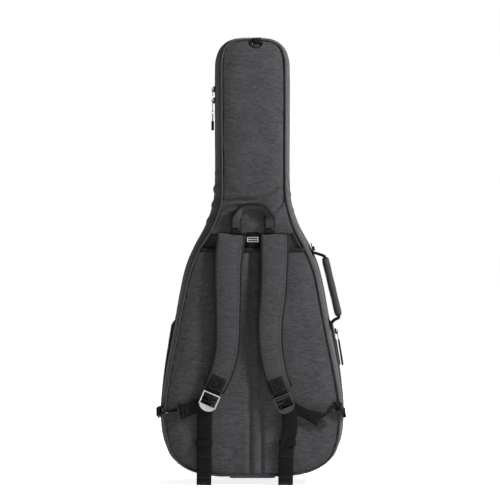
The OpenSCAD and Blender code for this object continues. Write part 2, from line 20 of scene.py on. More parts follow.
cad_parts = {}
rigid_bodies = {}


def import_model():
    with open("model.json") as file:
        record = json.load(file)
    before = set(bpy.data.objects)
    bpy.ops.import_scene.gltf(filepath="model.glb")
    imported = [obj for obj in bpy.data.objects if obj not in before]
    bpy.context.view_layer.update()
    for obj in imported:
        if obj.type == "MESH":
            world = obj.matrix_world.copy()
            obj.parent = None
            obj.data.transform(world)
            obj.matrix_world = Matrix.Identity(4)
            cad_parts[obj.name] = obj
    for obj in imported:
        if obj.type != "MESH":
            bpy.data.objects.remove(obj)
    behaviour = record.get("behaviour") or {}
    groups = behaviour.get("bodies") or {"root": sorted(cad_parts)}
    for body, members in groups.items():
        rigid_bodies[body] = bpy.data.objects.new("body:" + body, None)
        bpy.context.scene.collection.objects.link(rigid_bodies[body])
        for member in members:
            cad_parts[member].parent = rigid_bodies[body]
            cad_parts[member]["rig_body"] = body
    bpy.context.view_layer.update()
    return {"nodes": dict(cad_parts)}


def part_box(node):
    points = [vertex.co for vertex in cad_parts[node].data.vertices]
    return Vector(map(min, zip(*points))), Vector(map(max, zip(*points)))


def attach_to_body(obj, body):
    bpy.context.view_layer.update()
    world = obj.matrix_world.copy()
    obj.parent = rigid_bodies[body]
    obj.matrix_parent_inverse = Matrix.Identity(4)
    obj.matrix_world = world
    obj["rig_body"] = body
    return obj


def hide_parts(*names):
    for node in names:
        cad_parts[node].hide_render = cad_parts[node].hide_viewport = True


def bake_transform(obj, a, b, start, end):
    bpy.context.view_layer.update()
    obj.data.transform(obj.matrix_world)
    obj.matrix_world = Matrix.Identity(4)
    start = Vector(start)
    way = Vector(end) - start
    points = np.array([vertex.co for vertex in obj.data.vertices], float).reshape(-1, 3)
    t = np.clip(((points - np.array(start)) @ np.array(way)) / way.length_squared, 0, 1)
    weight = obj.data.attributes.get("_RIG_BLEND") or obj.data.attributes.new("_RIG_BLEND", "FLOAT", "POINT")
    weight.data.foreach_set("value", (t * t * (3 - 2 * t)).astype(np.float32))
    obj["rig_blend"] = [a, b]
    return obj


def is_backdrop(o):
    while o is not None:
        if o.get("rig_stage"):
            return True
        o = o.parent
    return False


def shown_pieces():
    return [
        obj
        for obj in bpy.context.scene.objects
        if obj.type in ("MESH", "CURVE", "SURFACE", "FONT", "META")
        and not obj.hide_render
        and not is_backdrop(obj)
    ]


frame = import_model()
LOG = logging.getLogger("gig_bag")
SEAT_Y = 37.0  # mm from the middle of the wear strip to the zip plane
MM = 0.001
WELD = 1e-6  # m, points closer than this are merged
RIM_STEP = 7.0  # mm between the points of the outline
CURVE_STEPS = 16  # points from one knot of an open curve to the next
SHARP = math.radians(40)  # edges that turn more than this stay sharp
FAR_OUT = 0.4  # m, from where a line is laid onto a face
TOWARDS_STRAPS = np.array([0.0, -1.0, 0.0])
Array = np.ndarray


class Side(Enum):
    """The two halves of the shell, by the sign of their outward y."""

    BACK = -1
    FRONT = 1


class Hand(Enum):
    """Left and right as the strap side is seen."""

    LEFT = 0
    RIGHT = 1


# ---------------------------------------------------------------- small tools


def place(points: Array) -> Array:
    """Millimetres in the bag's frame to metres in the row frame."""
    out = np.array(points, float)
    out[:, 1] += SEAT_Y
    return out * MM


def unplace(points: Array) -> Array:
    """Metres in the row frame to millimetres in the bag's frame."""
    out = np.array(points, float) / MM
    out[:, 1] -= SEAT_Y
    return out


def linear(hex_colour: str, alpha: float = 1.0) -> tuple[float, float, float, float]:
    """An sRGB hex colour as linear RGBA.

    Args:
        hex_colour: Six hex digits, such as "48474A".
        alpha: The fourth value.

    Returns:
        Linear red, green, blue and alpha.
    """
    values = [int(hex_colour[i : i + 2], 16) / 255 for i in (0, 2, 4)]
    red, green, blue = [v / 12.92 if v <= 0.04045 else ((v + 0.055) / 1.055) ** 2.4 for v in values]
    return red, green, blue, alpha


def smoothstep(low: float, high: float, value: Array) -> Array:
    """0 below low, 1 above high, smooth between."""
    t = np.clip((np.asarray(value, float) - low) / (high - low), 0, 1)
    return t * t * (3 - 2 * t)


def unit(vectors: Array) -> Array:
    """Rows scaled to length 1."""
    return vectors / np.maximum(np.linalg.norm(vectors, axis=-1, keepdims=True), 1e-9)


def wander(points: Array, scale: float, seed: float) -> Array:
    """Smooth noise from -1 to 1 at points in millimetres, with features about scale mm across."""
    return np.array([noise.noise(Vector((p[0] / scale + seed, p[1] / scale, p[2] / scale))) for p in points])


def between(knots: Sequence[Array], steps: int) -> list[Array]:
    """Points of a Catmull-Rom curve from the second of four knots towards the third."""
    p0, p1, p2, p3 = knots
    square, cube = 2 * p0 - 5 * p1 + 4 * p2 - p3, 3 * p1 - p0 - 3 * p2 + p3
    return [0.5 * (2 * p1 + (p2 - p0) * t + square * t * t + cube * t**3) for t in np.arange(steps) / steps]


def closed_curve(points: Array, steps: int) -> Array:
    """A smooth closed line through the points, steps points for each."""
    count = len(points)
    knots = [[points[(i + k) % count] for k in (-1, 0, 1, 2)] for i in range(count)]
    return np.array([spot for four in knots for spot in between(four, steps)])


def open_curve(points: Sequence[Sequence[float]], spacing: float) -> Array:
    """A smooth open line through the points, resampled at about spacing mm."""
    p = np.array(points, float)
    ends = np.vstack([2 * p[0] - p[1], p, 2 * p[-1] - p[-2]])
    fine = [spot for i in range(len(p) - 1) for spot in between(ends[i : i + 4], CURVE_STEPS)]
    line = np.array(fine + [p[-1]])
    run = run_length(line)
    count = max(4, int(round(run[-1] / spacing)) + 1)
    at = np.linspace(0, run[-1], count)
    return np.stack([np.interp(at, run, line[:, k]) for k in range(line.shape[1])], axis=1)


def along(line: Array, closed: bool = False) -> Array:
    """Unit tangents of a line."""
    if closed:
        return unit(np.roll(line, -1, axis=0) - np.roll(line, 1, axis=0))
    return unit(np.gradient(line, axis=0))


def run_length(line: Array) -> Array:
    """Distance along an open line at each point."""
    return np.concatenate([[0], np.cumsum(np.linalg.norm(np.diff(line, axis=0), axis=1))])


# ---------------------------------------------------------------- materials


def add_node(
    tree: bpy.types.NodeTree, kind: str, inputs: Optional[dict[Any, Any]] = None, **settings: Any
) -> bpy.types.Node:
    """Adds a node with its settings and its inputs.

    Args:
        tree: The node tree.
        kind: The node's type name.
        inputs: Socket name or number to a value, or to the output socket that feeds it.
        **settings: The node's own properties.

    Returns:
        The new node.
    """
    node = tree.nodes.new(kind)
    for key, value in settings.items():
        setattr(node, key, value)
    for key, value in (inputs or {}).items():
        if isinstance(value, bpy.types.NodeSocket):
            tree.links.new(value, node.inputs[key])
        else:
            node.inputs[key].default_value = value
    return node


@dataclass(frozen=True)
class Finish:
    """A finish: its name, its slot in the record and its shader's plain numbers."""

    name: str
    slot: str
    colour: str
    roughness: float = 0.8
    metallic: float = 0.0
    sheen: float = 0.0
    ior: float = 1.5
    specular: float = 0.5
    coat: float = 0.0

    def dress(self, tree: bpy.types.NodeTree, shader: bpy.types.Node) -> None:
        """Adds the finish's pattern; the plain finish has none."""

    def material(self) -> bpy.types.Material:
        """The finish as a material, made once."""
        found = bpy.data.materials.get(self.name)
        if found:
            return found
        material = bpy.data.materials.new(self.name)
        material.use_nodes = True
        tree = material.node_tree
        shader = tree.nodes["Principled BSDF"]
        for key, value in {
            "Base Color": linear(self.colour),
            "Roughness": self.roughness,
            "Metallic": self.metallic,
            "IOR": self.ior,
            "Specular IOR Level": self.specular,
            "Sheen Weight": self.sheen,
            "Coat Weight": self.coat,
        }.items():
            shader.inputs[key].default_value = value
        self.dress(tree, shader)
        return material


def calc(tree: bpy.types.NodeTree, operation: str, *values: Any) -> bpy.types.NodeSocket:
    """The result of a maths node on numbers or sockets."""
    return add_node(tree, "ShaderNodeMath", dict(enumerate(values)), operation=operation).outputs[0]


def remap(
    tree: bpy.types.NodeTree, value: Any, source: tuple[float, float], target: tuple[float, float] = (0.0, 1.0)
) -> bpy.types.NodeSocket:
    """A value taken from one range to another, and held inside it."""
    ends = dict(enumerate((value, *source, *target)))
    return add_node(tree, "ShaderNodeMapRange", ends, clamp=True).outputs[0]


def tint(tree: bpy.types.NodeTree, shader: bpy.types.Node, share: Any, colours: tuple[str, str]) -> None:
    """Mixes two hex colours into the shader's colour."""
    inputs = {0: share, 6: linear(colours[0]), 7: linear(colours[1])}
    mixed = add_node(tree, "ShaderNodeMix", inputs, data_type="RGBA").outputs[2]
    tree.links.new(mixed, shader.inputs["Base Color"])


def emboss(
    tree: bpy.types.NodeTree, shader: bpy.types.Node, height: Any, strength: float, depth_mm: float
) -> None:
    """Feeds a height to the shader's normal as a bump."""
    inputs = {"Strength": strength, "Distance": depth_mm * MM, "Height": height}
    bump = add_node(tree, "ShaderNodeBump", inputs)
    tree.links.new(bump.outputs[0], shader.inputs["Normal"])


def sine(tree: bpy.types.NodeTree, value: bpy.types.NodeSocket, pitch_mm: float) -> bpy.types.NodeSocket:
    """A sine wave of a coordinate in metres, one wave for each pitch."""
    return calc(tree, "SINE", calc(tree, "MULTIPLY", value, 2 * math.pi / (pitch_mm * MM)))


def streaks(
    tree: bpy.types.NodeTree, coordinate: bpy.types.NodeSocket, sizes_mm: tuple[float, float, float],
    detail: float
) -> bpy.types.NodeSocket:
    """Noise whose grains have the given sizes along x, y and z."""
    stretch = {"Vector": coordinate, "Scale": tuple(1 / (s * MM) for s in sizes_mm)}
    scaled = add_node(tree, "ShaderNodeMapping", stretch, vector_type="POINT").outputs[0]
    noise_inputs = {"Vector": scaled, "Scale": 1.0, "Detail": detail, "Roughness": 0.6}
    return add_node(tree, "ShaderNodeTexNoise", noise_inputs).outputs[0]


@dataclass(frozen=True)
class MelangeWeave(Finish):
    """Melange polyester weave: dark and light yarns mixed, so the cloth reads as short level streaks."""

    light: str = "6F6E72"
    slub_mm: tuple[float, float, float] = (14.0, 14.0, 2.0)
    yarn_mm: tuple[float, float, float] = (1.8, 1.8, 7.0)
    cloud_mm: tuple[float, float, float] = (70.0, 70.0, 70.0)
    thread_mm: float = 2.2  # real threads are near 0.6 mm; drawn coarser, so that they show

    def dress(self, tree: bpy.types.NodeTree, shader: bpy.types.Node) -> None:
        """Level slubs, upright yarns and grain in the colour; the crossing threads in the bump."""
        place_at = add_node(tree, "ShaderNodeTexCoord").outputs["Object"]
        slubs = streaks(tree, place_at, self.slub_mm, 3.0)
        yarns = streaks(tree, place_at, self.yarn_mm, 2.0)
        clouds = streaks(tree, place_at, self.cloud_mm, 2.0)
        sharp = remap(tree, slubs, (0.36, 0.66))
        fine = remap(tree, yarns, (0.35, 0.7))
        share = calc(tree, "MULTIPLY", sharp, 0.5)
        for part in (fine, clouds):
            share = calc(tree, "MULTIPLY_ADD", part, 0.3, share)
        tint(tree, shader, share, (self.colour, self.light))
        split = add_node(tree, "ShaderNodeSeparateXYZ", {0: place_at}).outputs
        weft = sine(tree, split[2], self.thread_mm)
        warp = sine(tree, calc(tree, "ADD", split[0], split[1]), self.thread_mm)
        height = calc(tree, "MULTIPLY_ADD", sharp, 0.8, calc(tree, "MULTIPLY", weft, warp))
        emboss(tree, shader, height, 0.32, 0.5)


@dataclass(frozen=True)
class RibbedWebbing(Finish):
    """Polypropylene webbing: ribs across its width, with a herringbone in each half."""

    bone_mm: float = 6.5  # from one turn of the herringbone to the next
    rib_mm: float = 2.4  # real ribs are near 1.2 mm; drawn coarser, so that they show
    light: str = "2A2A2C"

    def dress(self, tree: bpy.types.NodeTree, shader: bpy.types.Node) -> None:
        """Ribs from the piece's own map, whose u runs across and v along, in metres."""
        cloth = add_node(tree, "ShaderNodeUVMap", uv_map="Cloth").outputs[0]
        split = add_node(tree, "ShaderNodeSeparateXYZ", {0: cloth}).outputs
        half = calc(tree, "PINGPONG", split[0], self.bone_mm * MM)
        ribs = sine(tree, calc(tree, "MULTIPLY_ADD", half, 0.9, split[1]), self.rib_mm)
        rows = sine(tree, split[0], self.rib_mm * 0.8)
        height = remap(tree, calc(tree, "MULTIPLY_ADD", rows, 0.5, ribs), (-1.5, 1.5))
        tint(tree, shader, height, (self.colour, self.light))
        emboss(tree, shader, height, 0.55, 0.6)


@dataclass(frozen=True)
class Grained(Finish):
    """A finish with fine grain in its bump and roughness: plush, moulded plastic, rubber or metal."""

    grain_mm: tuple[float, float, float] = (1.2, 1.2, 1.2)
    depth: float = 0.3
    light: str = ""
    vary: float = 0.08

    def dress(self, tree: bpy.types.NodeTree, shader: bpy.types.Node) -> None:
        """Grain in the bump, a little of it in the roughness, and in the colour where a light one is given."""
        place_at = add_node(tree, "ShaderNodeTexCoord").outputs["Object"]
        grain = streaks(tree, place_at, self.grain_mm, 3.0)
        rough = remap(tree, grain, (0.3, 0.7), (self.roughness - self.vary, self.roughness + self.vary))
        tree.links.new(rough, shader.inputs["Roughness"])
        if self.light:
            tint(tree, shader, grain, (self.colour, self.light))
        emboss(tree, shader, grain, self.depth, 0.4)


# Each finish starts from what the real one is; the comment says what that gives the eye.

# Dyed polyester staple in two greys, woven plain: matt, with short pale streaks over near black.
SHELL = MelangeWeave(
    "melange_shell_weave", "weave", "0F0F10", light="323234", roughness=0.9, sheen=0.05, specular=0.15
)
# The same cloth, pulled tight over the strap's foam: a shade lighter where its yarns open.
STRAP = MelangeWeave(
    "melange_strap_weave", "weave", "121213", light="313133", roughness=0.9, sheen=0.05, specular=0.15
)
# The same cloth folded double round the loop, its yarns closed up: darker, with less contrast.
LOOP = MelangeWeave(
    "melange_loop_weave", "weave", "0E0E0F", light="272729", roughness=0.9, sheen=0.05, specular=0.15
)
# The same cloth cut on the bias round a cord: the streaks blur into a soft even line.
PIPING = MelangeWeave(
    "melange_piping_weave", "piping", "111112", light="2D2D2F", roughness=0.9, sheen=0.05, specular=0.15
)
# Knitted spacer mesh, full of small holes: a warm flat black that catches almost no light.
MESH_CLOTH = Grained(
    "spacer_mesh_cloth", "weave", "171514", light="2C2927", roughness=0.95, grain_mm=(2.6, 2.6, 2.6), depth=0.8,
    specular=0.1,
)
# Brushed knit over the handle's foam, worn soft by hands: a warm dark pile that is paler at a graze.
GRIP = Grained(
    "brushed_grip_cloth", "weave", "0F0D0C", light="231F1C", roughness=0.85, sheen=0.1, grain_mm=(2, 2, 5),
    specular=0.2,
)
# Nylon grosgrain tape, folded over an edge: a thin, smooth black line.
BINDING = Grained(
    "woven_binding_tape", "piping", "070707", light="101011", roughness=0.8, grain_mm=(1.4, 1.4, 1.4),
    specular=0.12
)
# Dyed polypropylene, heavy and ribbed: the deepest black of the bag, with a faint shine on the ribs.
WEBBING = RibbedWebbing(
    "polypropylene_webbing", "webbing", "040404", light="0B0B0C", roughness=0.7, specular=0.05
)
# Brushed polyester plush: soft grey, paler where its pile is seen from the side.
PLUSH = Grained(
    "brushed_plush_lining", "plush", "2A2A2D", light="4A4A4E", roughness=0.95, sheen=0.3, depth=0.6,
    specular=0.1
)
# Velour stretched over shaped foam: the plush's look with a shorter pile, so it is darker.
FOAM_CLOTH = Grained(
    "velour_pad_cover", "foam", "232326", light="3C3C40", roughness=0.95, sheen=0.3, depth=0.5, specular=0.1
)
# Solid nylon monofilament wound into a coil: smooth, so each turn has a small bright spot.
COIL = Grained(
    "nylon_zip_coil", "zip", "0C0C0D", light="19191A", roughness=0.45, grain_mm=(0.8, 0.8, 0.8), depth=0.1,
    specular=0.3,
)
# Tightly woven polyester tape: flat black with a fine upright grain.
TAPE = Grained(
    "woven_zip_tape", "zip", "0D0D0E", light="1B1B1C", roughness=0.9, grain_mm=(0.9, 0.9, 2.2), depth=0.4,
    specular=0.1,
)
# Cloth coated with rubber: coarse to the touch, with a low broken shine.
RUBBER = Grained(
    "coated_wear_cloth", "patch", "0E0E0F", light="1A1A1B", roughness=0.6, grain_mm=(1.5, 1.5, 1.5), depth=0.6,
    specular=0.3,
)
# Zinc castings plated in black nickel: dark and warm, with clear bright edges.
GUNMETAL = Grained(
    "black_nickel_casting", "gunmetal", "1E1A19", light="342D2B", roughness=0.28, metallic=1.0,
    grain_mm=(2.5, 2.5, 2.5), depth=0.08,
)
# A steel lock plated in nickel and brushed along its bars: pale, with long soft highlights.
NICKEL = Grained(
    "satin_nickel_casting", "satin", "8A8987", light="A3A2A0", roughness=0.42, metallic=1.0,
    grain_mm=(6, 0.6, 0.6), depth=0.08,
)
# The same satin nickel painted darker, as painted shade for the right lock, which faces away from the key
# light: its edges are bright, its faces stay grey.
NICKEL_PAINTED_SHADE = Grained(
    "dark_satin_nickel_casting", "satin", "2E2D2D", light="3F3E3E", roughness=0.4, metallic=1.0,
    grain_mm=(6, 0.6, 0.6), depth=0.08,
)
# Injection-moulded ABS with a fine spark texture: black, with a wide dull highlight.
MOULDED = Grained(
    "moulded_black_abs", "moulded", "070707", light="0D0D0E", roughness=0.55, grain_mm=(0.7,) * 3, depth=0.1,
    specular=0.08,
)
# Bonded nylon sewing thread: rounder and paler than the cloth, so each stitch shows as a dash.
THREAD = Grained(
    "bonded_nylon_thread", "webbing", "2C2C2E", light="3C3C3E", roughness=0.7, grain_mm=(0.8,) * 3, depth=0.2,
    specular=0.2,
)
# A duller grey thread for black tape and webbing, where it stands out enough.
PALE_THREAD = Grained(
    "grey_seam_thread", "webbing", "1E1E1F", light="2B2B2C", roughness=0.7, grain_mm=(0.8,) * 3, depth=0.2,
    specular=0.2,
)


# ---------------------------------------------------------------- meshes


def linked(name: str, data: Any) -> bpy.types.Object:
    """A new object in the scene for a mesh, a lamp or a camera."""
    obj = bpy.data.objects.new(name, data)
    bpy.context.scene.collection.objects.link(obj)
    return obj


def attach(obj: bpy.types.Object, body: str, *replaced: str) -> bpy.types.Object:
    """Rides a piece on a body and says which nodes it stands for."""
    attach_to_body(obj, body)
    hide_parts(*replaced)
    return obj


def clean(mesh: bpy.types.Mesh, merge: bool = True, outward: bool = True) -> None:
    """Merges points that coincide and turns the faces outwards."""
    tidy = bmesh.new()
    tidy.from_mesh(mesh)
    if merge:
        bmesh.ops.remove_doubles(tidy, verts=tidy.verts, dist=WELD)
    if outward:
        bmesh.ops.recalc_face_normals(tidy, faces=tidy.faces)
    tidy.to_mesh(mesh)
    tidy.free()


def coordinates(mesh: bpy.types.Mesh) -> Array:
    """A mesh's points, in metres."""
    flat = np.zeros(len(mesh.vertices) * 3)
    mesh.vertices.foreach_get("co", flat)
    return flat.reshape(-1, 3)


def set_coordinates(mesh: bpy.types.Mesh, points: Array) -> None:
    """Moves a mesh's points, in metres."""
    mesh.vertices.foreach_set("co", points.ravel())


def settled(obj: bpy.types.Object) -> bpy.types.Mesh:
    """The mesh that an object's modifiers give; the object itself is removed."""
    mesh = bpy.data.meshes.new_from_object(obj.evaluated_get(bpy.context.evaluated_depsgraph_get()))
    bpy.data.objects.remove(obj)
    return mesh


def add_remesh(obj: bpy.types.Object, voxel: float) -> None:
    """Remakes an object's mesh from even cells, voxel mm across."""
    remesh = obj.modifiers.new("even", "REMESH")
    remesh.mode = "VOXEL"
    remesh.voxel_size = voxel * MM


def new_object(name: str, mesh: bpy.types.Mesh, finish: Finish) -> bpy.types.Object:
    """Links a mesh as an object with a finish, smooth shaded."""
    obj = linked(name, mesh)
    mesh.materials.clear()
    mesh.materials.append(finish.material())
    mesh.polygons.foreach_set("use_smooth", [True] * len(mesh.polygons))
    mesh.update()
    return obj


def from_faces(name: str, points: Array, faces: Sequence[Sequence[int]], finish: Finish) -> bpy.types.Object:
    """An object from points in millimetres and faces, with its normals turned outwards."""
    mesh = bpy.data.meshes.new(name)
    mesh.from_pydata([tuple(p) for p in place(points)], [], [list(f) for f in faces])
    clean(mesh)
    return new_object(name, mesh, finish)


def slab(name: str, outline: Array, y: tuple[float, float], finish: Finish) -> bpy.types.Object:
    """A flat plate on an outline (x, z), between two depths y."""
    n = len(outline)
    points = np.concatenate([np.insert(outline, 1, at, axis=1) for at in y])
    faces = [tuple(range(n)), tuple(range(2 * n - 1, n - 1, -1))]
    faces += [(i, i + n, (i + 1) % n + n, (i + 1) % n) for i in range(n)]
    return from_faces(name, points, faces, finish)


def add_subdivision(obj: bpy.types.Object) -> None:
    """Adds one live subdivision."""
    modifier = obj.modifiers.new("smooth", "SUBSURF")
    modifier.levels = modifier.render_levels = 1


def skin_rows(
    name: str, rows: Array, finish: Finish, closed: bool, caps: bool = False, uv: bool = False
) -> bpy.types.Object:
    """A surface through rows of points.

    Args:
        name: The piece's name.
        rows: Points as (rows, points in a row, 3), in millimetres.
        finish: The piece's finish.
        closed: Whether each row is a ring.
        caps: Whether the first and last rings are filled.
        uv: Whether the piece gets the map "Cloth", in metres, u round the row and v along the rows.

    Returns:
        The object.
    """
    count, width = rows.shape[:2]
    last = width if closed else width - 1
    faces = [
        (r * width + i, r * width + (i + 1) % width, (r + 1) * width + (i + 1) % width, (r + 1) * width + i)
        for r in range(count - 1)
        for i in range(last)
    ]
    mesh = bpy.data.meshes.new(name)
    ends = [tuple(range(width - 1, -1, -1)), tuple(range((count - 1) * width, count * width))] if caps else []
    mesh.from_pydata([tuple(p) for p in place(rows.reshape(-1, 3))], [], faces + ends)
    if uv:
        around = np.linalg.norm(np.diff(np.concatenate([rows, rows[:, :1]], axis=1), axis=1), axis=2)
        u = np.concatenate([np.zeros((count, 1)), np.cumsum(around, axis=1)], axis=1) * MM
        middle = rows.mean(axis=1)
        v = run_length(middle) * MM
        layer = mesh.uv_layers.new(name="Cloth")
        values = np.zeros((len(mesh.loops), 2))
        k = 0
        for r in range(count - 1):
            for i in range(last):
                values[k : k + 4] = [
                    (u[r, i], v[r]), (u[r, i + 1], v[r]), (u[r + 1, i + 1], v[r + 1]), (u[r + 1, i], v[r + 1])
                ]
                k += 4
        layer.data.foreach_set("uv", values.ravel())
    clean(mesh, merge=False)
    return new_object(name, mesh, finish)


def sweep(
    name: str,
    path: Array,
    side: Array,
    profile: Array,
    finish: Finish,
    closed: bool = False,
    scale: Optional[Array] = None,
    uv: bool = True,
) -> bpy.types.Object:
    """A profile drawn along a path.

    Args:
        name: The piece's name.
        path: Points of the middle line, in millimetres.
        side: The direction of the profile's first axis at each point.
        profile: The ring's points, as (across, out).
        finish: The piece's finish.
        closed: Whether the path is a ring.
        scale: Size of the profile's first axis at each point.
        uv: Whether it gets the cloth map.

    Returns:
        The object.
    """
    tangent = along(path, closed)
    out = unit(np.cross(np.broadcast_to(np.asarray(side, float), path.shape), tangent))
    side = unit(np.cross(tangent, out))
    size = np.ones(len(path)) if scale is None else scale
    rows = (
        path[:, None, :]
        + side[:, None, :] * profile[None, :, :1] * size[:, None, None]
        + out[:, None, :] * profile[None, :, 1:]
    )
    if closed:
        rows = np.concatenate([rows, rows[:1]])
        obj = skin_rows(name, rows, finish, True, uv=uv)
        clean(obj.data, outward=False)
        return obj
    return skin_rows(name, rows, finish, True, caps=True, uv=uv)


def flat_profile(width: float, thick: float) -> Array:
    """Webbing's section: flat, with rounded edges."""
    w, t = width / 2, thick / 2
    return np.array([(-w, -t * 0.4), (-w + 0.6, -t), (-w / 3, -t), (w / 3, -t), (w - 0.6, -t), (w, -t * 0.4),
                     (w, t * 0.4), (w - 0.6, t), (w / 3, t), (-w / 3, t), (-w + 0.6, t), (-w, t * 0.4)])


def padded_profile(width: float, thick: float, edge: float, count: int = 14) -> Array:
    """A padded strap's section: crowned faces that come down to edges of the given thickness."""
    a = np.linspace(-1, 1, count)
    crown = edge / 2 + (thick - edge) / 2 * (1 - np.abs(a) ** 2.6)
    top = np.stack([a * width / 2, crown], axis=1)
    return np.concatenate([top, top[::-1] * [1, -1]])


def circle(count: int) -> Array:
    """Evenly spaced angles once round a circle."""
    return np.arange(count) * 2 * math.pi / count


def round_profile(radius: float, count: int = 10) -> Array:
    """A round section."""
    a = circle(count)
    return np.stack([np.cos(a), np.sin(a)], axis=1) * radius


# ---------------------------------------------------------------- rows of stitches and teeth


class RowTree:
    """The node tree that sets small bars along a line: stitches, or the teeth of a zip."""

    NAME = "bars_along_a_line"
    sockets: dict[str, str] = {}

    @classmethod
    def get(cls) -> bpy.types.NodeTree:
        """The tree, made once."""
        found = bpy.data.node_groups.get(cls.NAME)
        if found:
            return found
        tree = bpy.data.node_groups.new(cls.NAME, "GeometryNodeTree")
        for name, kind in (
            ("Geometry", "NodeSocketGeometry"),
            ("Pitch", "NodeSocketFloat"),
            ("Length", "NodeSocketFloat"),
            ("Width", "NodeSocketFloat"),
            ("Height", "NodeSocketFloat"),
            ("Material", "NodeSocketMaterial"),
        ):
            cls.sockets[name] = tree.interface.new_socket(name, in_out="INPUT", socket_type=kind).identifier
        tree.interface.new_socket("Geometry", in_out="OUTPUT", socket_type="NodeSocketGeometry")
        entry = add_node(tree, "NodeGroupInput").outputs
        line = add_node(tree, "GeometryNodeMeshToCurve", {"Mesh": entry["Geometry"]}).outputs[0]
        spaced = add_node(
            tree, "GeometryNodeResampleCurve", {"Curve": line, "Length": entry["Pitch"]}, mode="LENGTH"
        ).outputs[0]
        size = add_node(
            tree, "ShaderNodeCombineXYZ", {0: entry["Length"], 1: entry["Width"], 2: entry["Height"]}
        ).outputs[0]
        bar = add_node(tree, "GeometryNodeMeshCube", {"Size": size}).outputs[0]
        heading = add_node(tree, "GeometryNodeInputTangent").outputs[0]
        out = add_node(
            tree, "GeometryNodeInputNamedAttribute", {"Name": "out"}, data_type="FLOAT_VECTOR"
        ).outputs[0]
        first = add_node(tree, "FunctionNodeAlignRotationToVector", {"Vector": heading}, axis="X").outputs[0]
        second = add_node(
            tree, "FunctionNodeAlignRotationToVector", {"Rotation": first, "Vector": out}, axis="Z",
            pivot_axis="X"
        ).outputs[0]
        # The turn is stored before the line becomes points, so that it stays with each of them.
        stored = add_node(
            tree,
            "GeometryNodeStoreNamedAttribute",
            {"Geometry": spaced, "Name": "turn", "Value": second},
            data_type="QUATERNION",
            domain="POINT",
        ).outputs[0]
        points = add_node(tree, "GeometryNodeCurveToPoints", {"Curve": stored}, mode="EVALUATED").outputs[0]
        turn = add_node(
            tree, "GeometryNodeInputNamedAttribute", {"Name": "turn"}, data_type="QUATERNION"
        ).outputs[0]
        bars = add_node(
            tree, "GeometryNodeInstanceOnPoints", {"Points": points, "Instance": bar, "Rotation": turn}
        ).outputs[0]
        real = add_node(tree, "GeometryNodeRealizeInstances", {0: bars}).outputs[0]
        dressed = add_node(
            tree, "GeometryNodeSetMaterial", {"Geometry": real, "Material": entry["Material"]}
        ).outputs[0]
        add_node(tree, "NodeGroupOutput", {0: dressed})
        return tree


@dataclass(frozen=True)
class Bars:
    """The size of one bar and the distance between bars, in millimetres."""

    pitch: float
    length: float
    width: float
    height: float


STITCH = Bars(4.4, 3.0, 0.9, 0.6)
FINE_STITCH = Bars(3.6, 2.5, 0.8, 0.5)
TOOTH = Bars(2.6, 1.5, 2.6, 2.2)


def bars_along(
    name: str, lines: Sequence[Array], outs: Sequence[Array], bars: Bars, finish: Finish
) -> bpy.types.Object:
    """Bars set along one or more lines.

    Args:
        name: The piece's name.
        lines: Open lines of points, in millimetres.
        outs: For each line, the direction away from the surface at each point.
        bars: The bars' sizes.
        finish: Their finish.

    Returns:
        One plain mesh object.
    """
    points, edges, normals = [], [], []
    for line, out in zip(lines, outs):
        edges += [(len(points) + i, len(points) + i + 1) for i in range(len(line) - 1)]
        points += list(line)
        normals += list(np.broadcast_to(out, line.shape))
    mesh = bpy.data.meshes.new(name + "_line")
    mesh.from_pydata([tuple(p) for p in place(np.array(points))], edges, [])
    attribute = mesh.attributes.new("out", "FLOAT_VECTOR", "POINT")
    attribute.data.foreach_set("vector", np.array(normals, np.float32).ravel())
    base = linked(name + "_line", mesh)
    tree = RowTree.get()
    modifier = base.modifiers.new("bars", "NODES")
    modifier.node_group = tree
    for key, value in {
        "Pitch": bars.pitch * MM,
        "Length": bars.length * MM,
        "Width": bars.width * MM,
        "Height": bars.height * MM,
        "Material": finish.material(),
    }.items():
        modifier[RowTree.sockets[key]] = value
    made = settled(base)
    for attribute_name in [a.name for a in made.attributes if a.name in ("out", "turn")]:
        made.attributes.remove(made.attributes[attribute_name])
    obj = new_object(name, made, finish)
    made.polygons.foreach_set("use_smooth", [False] * len(made.polygons))
    return obj


# ---------------------------------------------------------------- padded pieces


@dataclass(frozen=True)
class Puff:
    """How a padded piece is swollen by cloth simulation."""

    pressure: float = 4.0
    grow: float = 0.01
    frames: int = 20
    cap: float = 5.0  # mm that a point may move
    bending: float = 0.5

    def swell(self, obj: bpy.types.Object, held: Array) -> None:
        """Swells a closed mesh, keeping the held points where they are.

        Args:
            obj: The piece, at the origin.
            held: One bool for each point.
        """
        scene = bpy.context.scene
        group = obj.vertex_groups.new(name="held")
        group.add([int(i) for i in np.nonzero(held)[0]], 1.0, "REPLACE")
        cloth = obj.modifiers.new("cloth", "CLOTH")
        settings = cloth.settings
        settings.quality = 5
        settings.mass = 0.3
        settings.use_pressure = True
        settings.uniform_pressure_force = self.pressure
        settings.effector_weights.gravity = 0
        settings.vertex_group_mass = "held"
        settings.shrink_min = -self.grow
        settings.tension_stiffness = settings.compression_stiffness = 15
        settings.bending_stiffness = self.bending
        cloth.collision_settings.use_collision = False
        cloth.point_cache.frame_start, cloth.point_cache.frame_end = 1, self.frames
        start = coordinates(obj.data)
        for step in range(1, self.frames + 1):
            scene.frame_set(step)
        evaluated = obj.evaluated_get(bpy.context.evaluated_depsgraph_get())
        move = coordinates(evaluated.data) - start
        obj.modifiers.remove(cloth)
        obj.vertex_groups.clear()
        scene.frame_set(1)
        length = np.linalg.norm(move, axis=1, keepdims=True)
        limit = self.cap * MM
        move *= limit * np.tanh(length / limit) / np.maximum(length, 1e-9)
        set_coordinates(obj.data, start + move)
        obj.data.update()


